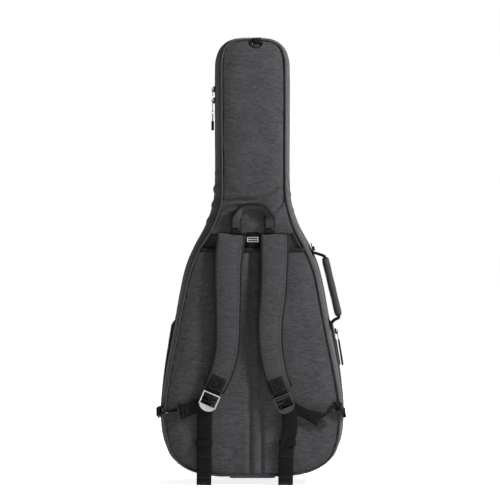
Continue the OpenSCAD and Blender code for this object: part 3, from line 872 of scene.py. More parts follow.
def edge_distance(points: Array, outline: Array) -> Array:
    """How far points (x, z) are from a closed outline."""
    a, b = outline, np.roll(outline, -1, axis=0)
    d = b - a
    length = np.maximum((d * d).sum(1), 1e-9)
    out = np.empty(len(points))
    for k in range(0, len(points), 2000):
        p = points[k : k + 2000, None, :]
        t = np.clip(((p - a) * d).sum(2) / length, 0, 1)
        out[k : k + 2000] = np.sqrt((((a + t[..., None] * d) - p) ** 2).sum(2)).min(1)
    return out


SLAB = 8.0  # mm, the thickness at which a pad is remeshed


def clip(outline: Array, axis: int, limit: float, keep_above: bool) -> Array:
    """The part of a closed outline on one side of a level line.

    Args:
        outline: Points as (x, z).
        axis: 0 to cut on x, 1 to cut on z.
        limit: Where the line is.
        keep_above: Whether the part past the line stays.

    Returns:
        The cut outline.
    """
    sign = 1 if keep_above else -1
    out = []
    for a, b in zip(outline, np.roll(outline, -1, axis=0)):
        da, db = sign * (a[axis] - limit), sign * (b[axis] - limit)
        if da >= 0:
            out.append(a)
        if da * db < 0:
            out.append(a + (b - a) * da / (da - db))
    return np.array(out)


def line_distance(points: Array, line: Array) -> Array:
    """How far points (x, z) are from an open line."""
    out = np.full(len(points), 1e9)
    for a, b in zip(line, line[1:]):
        d = b - a
        t = np.clip(((points - a) @ d) / max(d @ d, 1e-9), 0, 1)
        out = np.minimum(out, np.linalg.norm(points - (a + t[:, None] * d), axis=1))
    return out


@dataclass
class FlatPad:
    """A padded panel: a closed slab on an outline, shaped, swollen and then creased.

    Attributes:
        name: The piece's name.
        outline: Its edge, as (x, z).
        face: How far out its face is, at a height.
        side: Which way it faces.
        finish: Its finish.
        thick: Its thickness at the middle.
        edge: Its thickness at the edge.
        rim: How far in from the edge it reaches its full thickness.
        drop: How far the face falls back at the edge.
        voxel: The mesh's cell size.
        puff: How it is swollen, or None.
        seams: Lines (x, z) that are sewn down.
        post: Height added at the end at points (x, y, z), in millimetres.
        fill: How full it is, from 0 to 1; not used.
    """

    name: str
    outline: Array
    face: Callable[[Array], Array]
    side: Side
    finish: Finish
    thick: float = 6.0
    edge: float = 3.0
    rim: float = 22.0
    drop: float = 2.5
    voxel: float = 6.0
    puff: Optional[Puff] = None
    seams: Sequence[Array] = ()
    post: Optional[Callable[[Array], Array]] = None
    fill: float = 0.6

    def build(self) -> bpy.types.Object:
        """Makes the pad."""
        facing = self.side.value
        block = slab(self.name + "_slab", self.outline, (0.0, SLAB * facing), self.finish)
        add_remesh(block, self.voxel)
        mesh = settled(block)
        points = unplace(coordinates(mesh))
        plan = points[:, [0, 2]]
        inward = edge_distance(plan, self.outline)
        level = np.clip(points[:, 1] * facing / SLAB, 0, 1)
        full = np.sin(np.clip(inward / self.rim, 0, 1) * math.pi / 2)
        held = (inward < self.voxel * 1.1) | (level < 0.3)
        for seam in self.seams:
            near = line_distance(plan, seam)
            full = full * (0.72 + 0.28 * smoothstep(0, 14, near))
            held |= near < self.voxel * 0.8
        thick = self.edge + (self.thick - self.edge) * full
        outer = self.face(points[:, 2]) - self.drop * (1 - full)
        points[:, 1] = (outer - thick * (1 - level)) * facing
        set_coordinates(mesh, place(points))
        obj = new_object(self.name + "_cloth", mesh, self.finish)
        if self.puff is not None:
            self.puff.swell(obj, held)
        add_subdivision(obj)
        fine = settled(obj)
        if self.post is not None:
            points = unplace(coordinates(fine))
            base = self.face(points[:, 2]) - self.thick
            shown = smoothstep(0.3, 0.8, (points[:, 1] * facing - base) / self.thick)
            points[:, 1] += self.post(points) * shown * facing
            set_coordinates(fine, place(points))
        out = new_object(self.name, fine, self.finish)
        return out


@dataclass
class Surface:
    """Finds where a line lies on a finished piece."""

    piece: bpy.types.Object
    side: Side
    tree: BVHTree = field(init=False)

    def __post_init__(self) -> None:
        """Builds the search tree."""
        mesh = self.piece.data
        self.tree = BVHTree.FromPolygons(
            [v.co.copy() for v in mesh.vertices], [tuple(p.vertices) for p in mesh.polygons]
        )

    def lay(self, line: Array, lift: float = 0.2) -> tuple[Array, Array]:
        """Points of a line (x, z) on the surface, lifted a little, and the normals there."""
        spots, normals = [], []
        ray = Vector((0, -self.side.value, 0))
        last = Vector((0, self.side.value, 0))
        for x, z in line:
            start = Vector((x * MM, FAR_OUT * self.side.value, z * MM))
            hit, normal, _, _ = self.tree.ray_cast(start, ray)
            if hit is None:
                continue
            last = normal if normal.y * self.side.value > 0.2 else last
            spots.append(hit + last * lift * MM)
            normals.append(last)
        return unplace(np.array([tuple(p) for p in spots])), np.array([tuple(v) for v in normals])

    def stitch(self, name: str, lines: Sequence[Array], bars: Bars, finish: Finish) -> bpy.types.Object:
        """A row of stitches on the surface along each line (x, z)."""
        laid = [self.lay(open_curve(line, 5.0)) for line in lines]
        return bars_along(name, [p for p, _ in laid], [n for _, n in laid], bars, finish)


def refined(node: str, finish: Finish, bevel: float) -> bpy.types.Object:
    """A merged, bevelled and smooth-shaded copy that stands for a hard CAD node, on the node's body.

    Args:
        node: The CAD node.
        finish: Its finish.
        bevel: Width of the eased edges, in millimetres.

    Returns:
        The copy.
    """
    source = frame["nodes"][node]
    mesh = source.data.copy()
    tidy = bmesh.new()
    tidy.from_mesh(mesh)
    bmesh.ops.remove_doubles(tidy, verts=tidy.verts, dist=WELD)
    bmesh.ops.dissolve_limit(tidy, angle_limit=math.radians(1), verts=tidy.verts, edges=tidy.edges)
    bmesh.ops.triangulate(tidy, faces=[f for f in tidy.faces if len(f.verts) > 4])
    bmesh.ops.recalc_face_normals(tidy, faces=tidy.faces)
    tidy.to_mesh(mesh)
    tidy.free()
    obj = new_object(node + "_made", mesh, finish)
    if bevel:
        ease = obj.modifiers.new("ease", "BEVEL")
        ease.width = bevel * MM
        ease.segments = 2
        ease.limit_method = "ANGLE"
        ease.angle_limit = SHARP
        ease.harden_normals = False
    mesh.set_sharp_from_angle(angle=SHARP)
    return attach(obj, source["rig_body"], node)


def softened(
    node: str, finish: Finish, voxel: float, rounds: int, shape: Optional[Callable[[Array], Array]] = None,
    subdivide: bool = True
) -> bpy.types.Object:
    """A remeshed and relaxed copy that stands for a soft CAD node, on the node's body.

    Args:
        node: The CAD node.
        finish: Its finish.
        voxel: Cell size in millimetres.
        rounds: How many times it is relaxed.
        shape: Moves the points (x, y, z), in millimetres.
        subdivide: Whether it gets one subdivision.

    Returns:
        The copy.
    """
    source = frame["nodes"][node]
    mesh = source.data.copy()
    clean(mesh, outward=False)
    rough = new_object(node + "_rough", mesh, finish)
    add_remesh(rough, voxel)
    relax = rough.modifiers.new("relax", "SMOOTH")
    relax.iterations = rounds
    relax.factor = 0.5
    made = settled(rough)
    if shape is not None:
        set_coordinates(made, place(shape(unplace(coordinates(made)))))
    obj = new_object(node + "_soft", made, finish)
    if subdivide:
        add_subdivision(obj)
    return attach(obj, source["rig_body"], node)


def turned(points: Sequence[Sequence[float]], at: Sequence[float], turn: float, roll: float = 0.0) -> Array:
    """Points turned by roll about x and then by turn about y, in degrees, and moved to a place."""
    matrix = Matrix.Rotation(math.radians(turn), 3, "Y") @ Matrix.Rotation(math.radians(roll), 3, "X")
    return np.array(points, float) @ np.array(matrix).T + np.array(at, float)


def ring_arc(radius: float, start: float, stop: float, count: int = 14) -> Array:
    """An arc in the yz plane about the x axis, from start to stop in degrees."""
    a = np.radians(np.linspace(start, stop, count))
    return np.stack([np.zeros(count), radius * np.cos(a), radius * np.sin(a)], axis=1)


def box_stitch(width: float, height: float) -> list[Array]:
    """A sewn box with a cross in it, as lines (x, z) about its middle."""
    w, h = width / 2, height / 2
    return [
        np.array([(-w, -h), (w, -h), (w, h), (-w, h), (-w, -h)], float),
        np.array([(-w, -h), (w, h)], float),
        np.array([(-w, h), (w, -h)], float),
    ]


# ---------------------------------------------------------------- the shell


@dataclass
class Shell:
    """The outline and depths that the whole bag is built on.

    Attributes:
        length: Height of the bag.
        bout: Half its width at the lower bout.
        neck: Half its width at the neck.
        foam_in: How far the foam's inner face is inside the outline.
        lining: Thickness of the lining.
        chain: Width of one half of the zip.
        panel: How far the lining's floor is inside the outer face.
        rim: The outline as points (x, z).
    """

    length: float = 1140.0
    bout: float = 238.0
    neck: float = 97.0
    foam_in: float = 16.5
    lining: float = 2.0
    chain: float = 11.0
    panel: float = 15.5
    rim: Array = field(init=False)

    def __post_init__(self) -> None:
        """Draws the outline clockwise from the top of the head, with points about 7 mm apart."""
        b, n, top = self.bout, self.neck, self.length
        half = [
            (0, top), (0.46 * n, top - 3), (0.8 * n, top - 19), (0.97 * n, top - 52), (n, top - 100), (n, 900),
            (n, 770), (n + 6, 708), (n + 25, 652), (0.63 * b, 600), (0.72 * b, 550), (0.782 * b, 490),
            (0.861 * b, 385), (0.941 * b, 285), (0.994 * b, 205), (b, 150), (0.968 * b, 95), (0.865 * b, 45),
            (0.67 * b, 15), (0.42 * b, 2), (0.25 * b, 0.4), (0, 0),
        ]
        knots = np.array(half + [(-x, z) for x, z in half[-2:0:-1]], float)
        fine = closed_curve(knots, 12)
        loop = np.vstack([fine, fine[:1]])
        run = run_length(loop)
        at = np.linspace(0, run[-1], int(run[-1] / RIM_STEP) + 1)[:-1]
        self.rim = np.stack([np.interp(at, run, loop[:, k]) for k in (0, 1)], axis=1)

    def inset(self, distance: float | Array) -> Array:
        """The outline moved inwards."""
        t = along(self.rim, closed=True)
        return self.rim + np.stack([t[:, 1], -t[:, 0]], axis=1) * np.reshape(distance, (-1, 1))

    def sewn(self, side: Side) -> Array:
        """How far the piping's middle is inside the outline, at each point of the rim."""
        x, z = self.rim[:, 0], self.rim[:, 1]
        heights = [0.0, 30.0, 110.0, 420.0, 600.0, 700.0, 790.0, 1085.0, 1140.0]
        if side is Side.FRONT:
            return np.interp(z, heights, [8.5, 9.5, 12.0, 12.0, 12.0, 12.0, 12.0, 12.0, 10.0])
        left = np.interp(z, heights, [8.0, 9.0, 13.0, 14.0, 17.0, 23.0, 18.0, 17.0, 9.5])
        right = np.interp(z, heights, [8.0, 9.0, 13.0, 17.0, 17.0, 14.0, 12.0, 12.0, 9.5])
        share = smoothstep(-30.0, 30.0, x)
        return left * (1 - share) + right * share

    def depth(self, side: Side, z: Array) -> Array:
        """How far the shell's outer face is from the zip plane, at a height."""
        if side is Side.BACK:
            return np.interp(z, [620.0, self.length], [80.0, 64.0])
        return np.interp(z, [560.0, self.length], [78.0, 44.0])

    def rows(self, insets: Sequence[float | Array], depths: Sequence[Array]) -> Array:
        """Rings of points round the outline: one row of the section for each point of the rim."""
        return np.stack(
            [np.insert(self.inset(i), 1, d, axis=1) for i, d in zip(insets, depths)], axis=1
        )


def ring_piece(name: str, rows: Array, finish: Finish, low: int = 0, high: int = 0) -> bpy.types.Object:
    """A closed section carried right round the rim, or along part of it.

    Args:
        name: The piece's name.
        rows: Points as (rim points, section points, 3).
        finish: Its finish.
        low: First rim point, where it isn't the whole rim.
        high: Last rim point.

    Returns:
        The object.
    """
    if high > low:
        return skin_rows(name, rows[low : high + 1], finish, True, caps=True)
    obj = skin_rows(name, np.concatenate([rows, rows[:1]]), finish, True)
    clean(obj.data)
    return obj


@dataclass
class HalfShell:
    """One half of the shell: gusset, panel, lining, piping and half of the zip."""

    shell: Shell
    side: Side
    body: str
    nodes: dict[str, tuple[str, ...]]
    hinge: tuple[float, float] = (215.0, 420.0)
    pieces: list[bpy.types.Object] = field(default_factory=list)

    def keep(self, obj: bpy.types.Object, *replaced: str) -> bpy.types.Object:
        """Rides a piece on this half and says which nodes it stands for."""
        self.pieces.append(obj)
        return attach(obj, self.body, *replaced)

    def gusset(self) -> bpy.types.Object:
        """The padded gusset: fullest at the zip, drawn in to the piping, with creases where it bends."""
        shell, facing = self.shell, self.side.value
        rim = shell.rim
        depth = shell.depth(self.side, rim[:, 1]) - 1.0
        start = shell.chain + 0.6
        t = along(rim, closed=True)
        bend = np.abs(np.cross(np.roll(t, 4, axis=0), np.roll(t, -4, axis=0)))
        run = np.arange(len(rim)) * RIM_STEP
        insets, depths = [], []
        for s in np.linspace(0, 1, 13):
            y = (start + s * (depth - start)) * facing
            spots = np.insert(rim, 1, y, axis=1)
            full = math.sin(math.pi * s)
            folds = np.sin(run / 11.0 + 2.5 * math.sin(3 * s)) * np.clip(bend, 0, 0.6) * 2.2
            soft = wander(spots, 46.0, 3.0 * facing) * 1.6 + wander(spots, 17.0, 9.0) * 0.5
            flare = np.exp(-(((rim[:, 1] - 720.0) / 85.0) ** 2))
            reach = np.where(rim[:, 0] < 0, 5.0, 2.8)
            ripple = flare * reach * (
                0.7 + np.sin(rim[:, 1] / 6.5 + 0.8 * math.sin(4 * s) + np.sign(rim[:, 0]))
            )
            insets.append(
                2.6 + (shell.sewn(self.side) - 3.4) * s**2.3 - full * (1.6 + folds * 0.6 + soft * 0.8 + ripple)
            )
            depths.append(y)
        for s in (1.0, 0.5, 0.0):
            insets.append(np.full(len(rim), shell.foam_in - 0.4))
            depths.append((start + s * (depth - 13.0 - start)) * facing)
        obj = ring_piece(self.body + "_gusset", shell.rows(insets, depths), SHELL)
        add_subdivision(obj)
        return self.keep(obj, *self.nodes["gusset"])

    def piping_tube(self) -> bpy.types.Object:
        """The round bound piping between the gusset and the panel."""
        shell = self.shell
        depth = shell.depth(self.side, shell.rim[:, 1])
        a = circle(10)
        wave = wander(np.insert(shell.rim, 1, 0.0, axis=1), 60.0, 21.0) * 0.7
        insets = [shell.sewn(self.side) + wave + 2.7 * math.cos(k) for k in a]
        depths = [(depth + 0.6 + 2.7 * math.sin(k)) * self.side.value for k in a]
        obj = ring_piece(self.body + "_piping_tube", shell.rows(insets, depths), PIPING)
        return self.keep(obj, *self.nodes["piping"])

    def piping_stitches(self) -> bpy.types.Object:
        """The seam that runs along the gusset beside the piping."""
        shell = self.shell
        line = np.insert(
            shell.inset(shell.sewn(self.side) - 5.4), 1, (shell.depth(self.side, shell.rim[:, 1]) - 6.0), axis=1
        )
        line[:, 1] *= self.side.value
        t = along(shell.rim, closed=True)
        out = np.stack([-t[:, 1], np.full(len(t), 0.5 * self.side.value), t[:, 0]], axis=1)
        line = line + unit(out) * 0.6
        obj = bars_along(
            self.body + "_piping_stitches", [np.vstack([line, line[:1]])], [np.vstack([out, out[:1]])], STITCH,
            THREAD
        )
        return self.keep(obj)

    def zip_tape(self) -> bpy.types.Object:
        """Half of the zip's tape, flat round the rim, open where the fabric hinge is on the tray."""
        shell, facing = self.shell, self.side.value
        count = len(shell.rim)
        insets = [np.full(count, v) for v in (0.9, 0.5, 0.3, 2.6, 2.9, 2.9)]
        depths = [
            np.full(count, v * facing) for v in (0.7, 2.2, shell.chain + 1.2, shell.chain + 1.2, 3.0, 0.7)
        ]
        rows = shell.rows(insets, depths)
        low, high = self.zip_span()
        if self.side is Side.BACK:
            rows = np.roll(rows, -high, axis=0)
            obj = ring_piece(self.body + "_zip_tape", rows, TAPE, 0, count - (high - low))
        else:
            obj = ring_piece(self.body + "_zip_tape", rows, TAPE)
        return self.keep(obj, *self.nodes["zip"])

    def zip_span(self) -> tuple[int, int]:
        """The rim points where the fabric hinge starts and ends, going up the left side."""
        left = (self.shell.rim[:, 0] < -120) & (
            self.shell.rim[:, 1] > self.hinge[0]
        ) & (self.shell.rim[:, 1] < self.hinge[1])
        where = np.nonzero(left)[0]
        return int(where.min()), int(where.max())

    def teeth(self) -> bpy.types.Object:
        """Half of the zip's coil."""
        shell, facing = self.shell, self.side.value
        low, high = self.zip_span()
        line = np.roll(
            np.insert(shell.inset(0.2), 1, 1.5 * facing, axis=1), -high, axis=0
        )[: len(shell.rim) - (high - low)][2:-2]
        t = np.roll(along(shell.rim, closed=True), -high - 2, axis=0)[: len(line)]
        out = np.stack([-t[:, 1], np.zeros(len(t)), t[:, 0]], axis=1)
        obj = bars_along(self.body + "_zip_coil", [line], [out], TOOTH, COIL)
        return self.keep(obj)

    def zip_stitches(self) -> bpy.types.Object:
        """The seam along the zip's tape."""
        shell, facing = self.shell, self.side.value
        t = along(shell.rim, closed=True)
        out = np.stack([-t[:, 1], np.zeros(len(t)), t[:, 0]], axis=1)
        line = np.insert(shell.inset(0.0), 1, (shell.chain - 2.6) * facing, axis=1)
        line, out = np.vstack([line, line[:1]]), np.vstack([out, out[:1]])
        return self.keep(bars_along(self.body + "_zip_stitches", [line], [out], STITCH, THREAD))

    def lining(self) -> None:
        """The plush inside: a wall round the rim and a soft floor."""
        shell, facing = self.shell, self.side.value
        rim = shell.rim
        floor = shell.depth(self.side, rim[:, 1]) - shell.panel
        inner, outer = shell.foam_in + shell.lining, shell.foam_in
        soft = wander(np.insert(rim, 1, 0.0, axis=1), 30.0, 5.0) * 0.6
        insets = [inner, inner + soft, inner + soft, inner, outer, outer - 0.2, 3.2, 3.2]
        depths = [
            np.full(len(rim), 1.2), np.full(len(rim), 12.0), floor * 0.6, floor, floor, np.full(len(rim), 5.0)
        ]
        depths += [np.full(len(rim), 5.0), np.full(len(rim), 1.2)]
        wall = ring_piece(self.body + "_lining_wall", shell.rows(insets, [d * facing for d in depths]), PLUSH)
        self.keep(wall, *self.nodes["lining"])
        pad = FlatPad(
            self.body + "_lining_floor",
            shell.inset(inner - 0.5),
            lambda z: -(shell.depth(self.side, z) - shell.panel),
            Side.FRONT if self.side is Side.BACK else Side.BACK,
            PLUSH,
            thick=4.0,
            edge=3.0,
            drop=-0.4,
            voxel=8.0,
            post=lambda p: wander(p, 55.0, 4.0) * 0.8,
            fill=0.5,
        ).build()
        self.keep(pad)

    def build(self) -> None:
        """Makes everything that both halves have."""
        self.gusset()
        self.piping_tube()
        self.piping_stitches()
        self.zip_tape()
        self.teeth()
        self.zip_stitches()
        self.lining()
        LOG.info("%s: %d pieces", self.body, len(self.pieces))


@dataclass
class BackPanel:
    """The strap side: the panel, the neck panel, the stow pocket and what is sewn between them."""

    shell: Shell
    yoke: float = 630.0
    stow: float = 588.0
    cover: float = 2.5
    spine_x: float = 1.0
    spine_w: float = 30.0
    puff: Puff = Puff(pressure=4.0, grow=0.012, cap=4.5)

    def keep(self, obj: bpy.types.Object, *replaced: str) -> bpy.types.Object:
        """Rides a piece on the tray and says which nodes it stands for."""
        return attach(obj, "tray", *replaced)

    def outline(self) -> Array:
        """The edge of the back panel and its covers, just inside the piping."""
        return self.shell.inset(self.shell.sewn(Side.BACK) + 2.0)

    def panel(self) -> None:
        """The plain panel behind the covers; it shows only as the dark strip between them."""
        obj = FlatPad(
            "back_panel", self.outline(), lambda z: self.shell.depth(Side.BACK, z) - 0.4, Side.BACK,
            MESH_CLOTH, thick=11.0, edge=10.0, drop=0.4, voxel=9.0, fill=0.7,
        ).build()
        self.keep(obj, "back_fabric", "back_foam")

    def creases(self, points: Array) -> Array:
        """The neck panel's long creases and its soft unevenness."""
        plan = points[:, [0, 2]]
        lines = [
            (np.array([(-76, 710), (-40, 716), (-5, 714), (25, 722), (62, 746)], float), 4.2, 5.0),
            (np.array([(60, 692), (74, 705), (88, 726)], float), 3.6, 5.0),
            (np.array([(-84, 690), (-60, 698), (-34, 700)], float), 2.4, 6.0),
            (np.array([(-60, 736), (-20, 742), (10, 752)], float), 1.6, 7.0),
            (np.array([(-70, 860), (-20, 868), (40, 862)], float), 1.2, 14.0),
            (np.array([(-60, 990), (0, 984), (66, 992)], float), 1.1, 16.0),
        ]
        out = wander(points, 70.0, 2.0) * 1.8 + wander(points, 26.0, 7.0) * 0.6
        for line, deep, wide in lines:
            away = line_distance(plan, open_curve(line, 6.0))
            below = smoothstep(-4.0, 10.0, np.interp(plan[:, 0], line[:, 0], line[:, 1]) - plan[:, 1])
            out -= deep * np.exp(-((away / wide) ** 2))
            out += deep * 0.7 * below * np.exp(-(((away - wide * 1.6) / (wide * 1.6)) ** 2))
        return out

    def neck_panel(self) -> None:
        """The padded panel over the neck, with a hemmed and stitched lower edge."""
        outline = clip(self.outline(), 1, self.yoke, True)
        pad = FlatPad(
            "neck_cover", outline, lambda z: self.shell.depth(Side.BACK, z) + self.cover + 0.6, Side.BACK,
            SHELL, thick=7.0, edge=2.6, rim=26.0, drop=3.0, puff=self.puff, post=self.creases, fill=0.65
        ).build()
        self.keep(pad, "neck_panel")
        hem = Surface(pad, Side.BACK).stitch(
            "neck_cover_stitches",
            [
                np.array([(-108, self.yoke + 5), (0, self.yoke + 5), (108, self.yoke + 5)], float),
            ],
            STITCH,
            THREAD,
        )
        self.keep(hem)

    def stow_pocket(self) -> None:
        """The pocket that the straps are stowed in, with two seams down its middle and a bound top edge."""
        outline = clip(self.outline(), 1, self.stow, False)
        seams = [np.array([(x, 14), (x, 300), (x, self.stow - 4)], float) for x in (-7.0, 23.0)]

        def soft(points: Array) -> Array:
            """Broad unevenness, with draws towards the base and the side seams."""
            level = wander(points, 90.0, 12.0) * 2.0 + wander(points * [1.0, 1.0, 0.45], 34.0, 15.0) * 0.8
            for seam in seams:
                away = line_distance(points[:, [0, 2]], seam)
                level -= 2.8 * np.exp(-((away / 3.2) ** 2))
                level += 1.6 * np.exp(-(((away - 11.0) / 8.0) ** 2))
            return level

        pad = FlatPad(
            "stow_cover", outline, lambda z: self.shell.depth(Side.BACK, z) + self.cover + 0.8, Side.BACK,
            SHELL, thick=7.5, edge=2.6, rim=34.0, drop=3.4, puff=self.puff, seams=seams, post=soft, fill=0.6
        ).build()
        self.keep(pad, "stow_pocket")
        surface = Surface(pad, Side.BACK)
        self.keep(surface.stitch("stow_cover_stitches", seams, FINE_STITCH, THREAD))
        width = outline[np.abs(outline[:, 1] - self.stow) < 1e-6][:, 0]
        left, right = float(width.min()), float(width.max())
        y = -(80.0 + self.cover - 0.4)
        line = open_curve(
            [
                (left + 2, y + 1.6, self.stow), (left / 2, y - 0.6, self.stow + 0.6), (0, y - 1.0, self.stow),
                (right / 2, y - 0.6, self.stow + 0.4), (right - 2, y + 1.6, self.stow)
            ],
            8.0
        )
        edge = sweep(
            "stow_cover_binding", line, np.array([0.0, -1.0, 0.0]), round_profile(2.6) * [1.0, 2.2], BINDING
        )
        self.keep(edge)

    def spine(self) -> None:
        """The webbing between the two covers and its slide."""
        y = -81.2
        line = open_curve(
            [
                (self.spine_x, y + 1.4, self.yoke + 4), (self.spine_x, y - 1.2, 610.0),
                (self.spine_x, y + 1.2, self.stow - 3)
            ],
            4.0
        )
        band = sweep("spine_band", line, np.array([-1.0, 0.0, 0.0]), flat_profile(self.spine_w, 1.6), WEBBING)
        self.keep(band, "spine_webbing")
        refined("spine_slide", NICKEL, 0.5)

    def wear_strip(self) -> None:
        """The flat coated strip under the base."""
        low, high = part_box("base_patch")
        (x0, y0, _), (x1, y1, z1) = unplace(np.array([tuple(low), tuple(high)]))
        r = 9.0
        ring = []
        for cx, cy, start in (
            (x1 - r, y1 - r, 0), (x0 + r, y1 - r, 90), (x0 + r, y0 + r, 180), (x1 - r, y0 + r, 270)
        ):
            for a in np.radians(start + np.linspace(0, 90, 7)):
                ring.append((cx + r * math.cos(a), cy + r * math.sin(a)))
        ring = np.array(ring)
        middle = ring.mean(axis=0)
        rows = np.stack(
            [
                np.insert((ring - middle) * k + middle, 2, z, axis=1) for k,
                z in ((0.02, z1), (0.99, z1), (1.0, z1 - 0.6), (1.0, 0.8), (0.985, 0.0), (0.02, 0.0))
            ]
        )
        self.keep(skin_rows("wear_strip", rows, RUBBER, True, caps=True), "base_patch")
        line = (ring - middle) * 0.93 + middle
        loop = np.insert(np.vstack([line, line[:1]]), 2, -0.05, axis=1)
        self.keep(bars_along("wear_strip_stitches", [loop], [np.array([0.0, 0.0, -1.0])], STITCH, PALE_THREAD))

    def build(self) -> None:
        """Makes the strap side."""
        self.panel()
        self.neck_panel()
        self.stow_pocket()
        self.spine()
        self.wear_strip()
        LOG.info("strap side covers made")


@dataclass
class Carrying:
    """What the bag is carried by: the shoulder straps, the haul loop, the side handle and the hang ring.

    Attributes:
        shell: The shell that everything is sewn to; not used.
        strap_t: Thickness of the padded straps.
        strap_top: Width of a strap at its upper end.
        strap_end: Width of a strap at its lower end.
        web_w: Width of the webbing.
        web_t: Thickness of the webbing.
        web_y: Face of the webbing between hook and lock.
        keeper_z: Height of the elastic keepers.
        cross_z: Height of the seam across each strap.
        lines: The middle line (x, z) of each strap, left and right.
        rise: How far out (y, z) the straps lie, from top to end.
        buckle_at: Where the two ladder locks are.
        buckle_turn: How far each is turned about y, in degrees.
    """

    shell: Shell
    strap_t: float = 13.0
    strap_top: float = 74.0
    strap_end: float = 58.0
    web_w: float = 38.0
    web_t: float = 1.6
    web_y: float = -98.0
    keeper_z: float = 94.0
    cross_z: float = 547.0
    lines: tuple[Array, Array] = (
        np.array([(-54, 629), (-61, 560), (-62, 480), (-62, 400), (-65, 330), (-80, 272), (-99, 232)], float),
        np.array([(58, 629), (57, 560), (54, 480), (46, 400), (49, 330), (61, 268), (76, 228)], float),
    )
    rise: Array = field(
        default_factory=lambda: np.array(
            [(-81, 629), (-90, 600), (-98, 540), (-102, 460), (-102, 360), (-99, 280), (-96, 200)], float
        )
    )
    buckle_at: tuple[tuple[float, float, float], ...] = ((-109.5, -107.6, 205.0), (81.0, -107.6, 199.0))
    buckle_turn: tuple[float, float] = (23.7, -22.5)

    def strap_path(self, hand: Hand) -> Array:
        """The middle line of a strap, through its thickness."""
        plan = open_curve(self.lines[hand.value], 6.0)
        profile = open_curve(self.rise, 4.0)
        y = np.interp(-plan[:, 1], -profile[:, 1], profile[:, 0]) - 3.0
        y[plan[:, 1] > 600] += 0.6
        return np.insert(plan, 1, y, axis=1)

    def strap(self, hand: Hand) -> None:
        """A padded shoulder strap with bound edges, a seam along each, and its cross seam."""
        name = hand.name.lower()
        path = self.strap_path(hand)
        out = TOWARDS_STRAPS
        tangent = along(path)
        side = unit(np.cross(tangent, np.broadcast_to(out, path.shape)))
        out_now = unit(np.cross(side, tangent))
        share = np.linspace(0, 1, len(path))
        width = self.strap_top + (self.strap_end - self.strap_top) * share
        soft = wander(path, 60.0, 31.0 + hand.value) * 0.5
        count = 16
        a = np.linspace(-1, 1, count)
        rows = []
        for i, p in enumerate(path):
            fade = smoothstep(0, 0.06, share[i]) * smoothstep(0, 0.05, 1 - share[i])
            thick = 6.0 + (self.strap_t - 6.0) * fade
            edge = 5.4
            crown = edge / 2 + (thick - edge) / 2 * (1 - np.abs(a) ** 2.4) + soft[i] * (1 - a * a) * fade
            half = width[i] / 2 - 1.5
            face = p + side[i] * (a * half)[:, None] + out_now[i] * crown[:, None]
            back = p + side[i] * (a[::-1] * half)[:, None] - out_now[i] * (crown[::-1] * 0.8)[:, None]
            rows.append(np.concatenate([face, back]))
        pad = skin_rows(name + "_strap_pad", np.array(rows), STRAP, True, caps=True)
        add_subdivision(pad)
        attach(pad, "tray", name + "_strap")
        seams, outs = [], []
        tape = np.array(
            [(-2.4, -3.2), (-0.4, -4.2), (1.8, -3.4), (2.6, 0.0), (1.8, 3.4), (-0.4, 4.2), (-2.4, 3.2)]
        )
        for s in (-1, 1):
            line = path + side * (s * (width / 2 - 2.2))[:, None]
            bound = sweep(
                f"{name}_strap_binding_{'ab'[(s + 1) // 2]}", line, side * s, tape * [1.0, s], BINDING
            )
            attach(bound, "tray")
            seams.append(path + side * (s * (width / 2 - 8.0))[:, None] + out_now * 5.3)
            outs.append(out_now)
        attach(bars_along(name + "_strap_stitches", seams, outs, STITCH, PALE_THREAD), "tray")
        cross_z = self.cross_z
        middle = int(np.argmin(np.abs(path[:, 2] - cross_z)))
        lines = Surface(pad, Side.BACK)
        x, w = path[middle, 0], width[middle] / 2 - 9
        attach(
            lines.stitch(
                name + "_strap_cross_seam",
                [np.array([(x - w, cross_z), (x, cross_z - 1), (x + w, cross_z)], float)], STITCH, THREAD
            ),
            "tray"
        )

    def stub(self, hand: Hand) -> None:
        """Webbing sewn to the strap's end with a boxed cross, folded round the ladder lock's top bar."""
        name, at, turn = hand.name.lower(), self.buckle_at[hand.value], self.buckle_turn[hand.value]
        bend = [
            (0, -1.6, 26.0), (0, 1.4, 21.0), (0, 2.9, 16.0), (0, 0.4, 12.6), (0, 2.2, 15.0), (0, 3.4, 19.0),
            (0, 3.4, 26.0)
        ]
        local = np.array([(0, -3.0, 64.0), (0, -3.2, 48.0), (0, -3.0, 34.0)] + bend)
        path = open_curve(turned(local, at, turn), 2.0)
        side = turned([(-1, 0, 0)], (0, 0, 0), turn)[0]
        band = sweep(name + "_strap_stub", path, side, flat_profile(self.web_w, self.web_t), WEBBING)
        attach(band, "tray", *(["strap_stubs"] if hand is Hand.LEFT else []))
        flat = [turned(np.insert(q, 1, -4.1, axis=1) + [0, 0, 45.0], at, turn) for q in box_stitch(29.0, 30.0)]
        out = TOWARDS_STRAPS
        attach(bars_along(name + "_stub_stitches", flat, [out] * len(flat), STITCH, PALE_THREAD), "tray")

    def buckle(self, hand: Hand) -> None:
        """The metal ladder lock, with the webbing laced over its two middle bars."""
        name, at, turn = hand.name.lower(), self.buckle_at[hand.value], self.buckle_turn[hand.value]
        # The right lock gets the nickel painted darker: painted shade on the same hardware as the left lock.
        refined(name + "_buckle", NICKEL if hand is Hand.LEFT else NICKEL_PAINTED_SHADE, 0.7)
        side = turned([(-1, 0, 0)], (0, 0, 0), turn)[0]
        for k, z in enumerate((5.0, -6.0)):
            arc = ring_arc(2.1, 250, -70, 16) + [0, 0, z]
            path = turned(arc, at, turn)
            band = sweep(
                f"{name}_lacing_{'ab'[k]}", path, side, flat_profile(self.web_w - 0.8, self.web_t), WEBBING
            )
            attach(band, name + "_buckle", *([name + "_wraps"] if k == 0 else []))

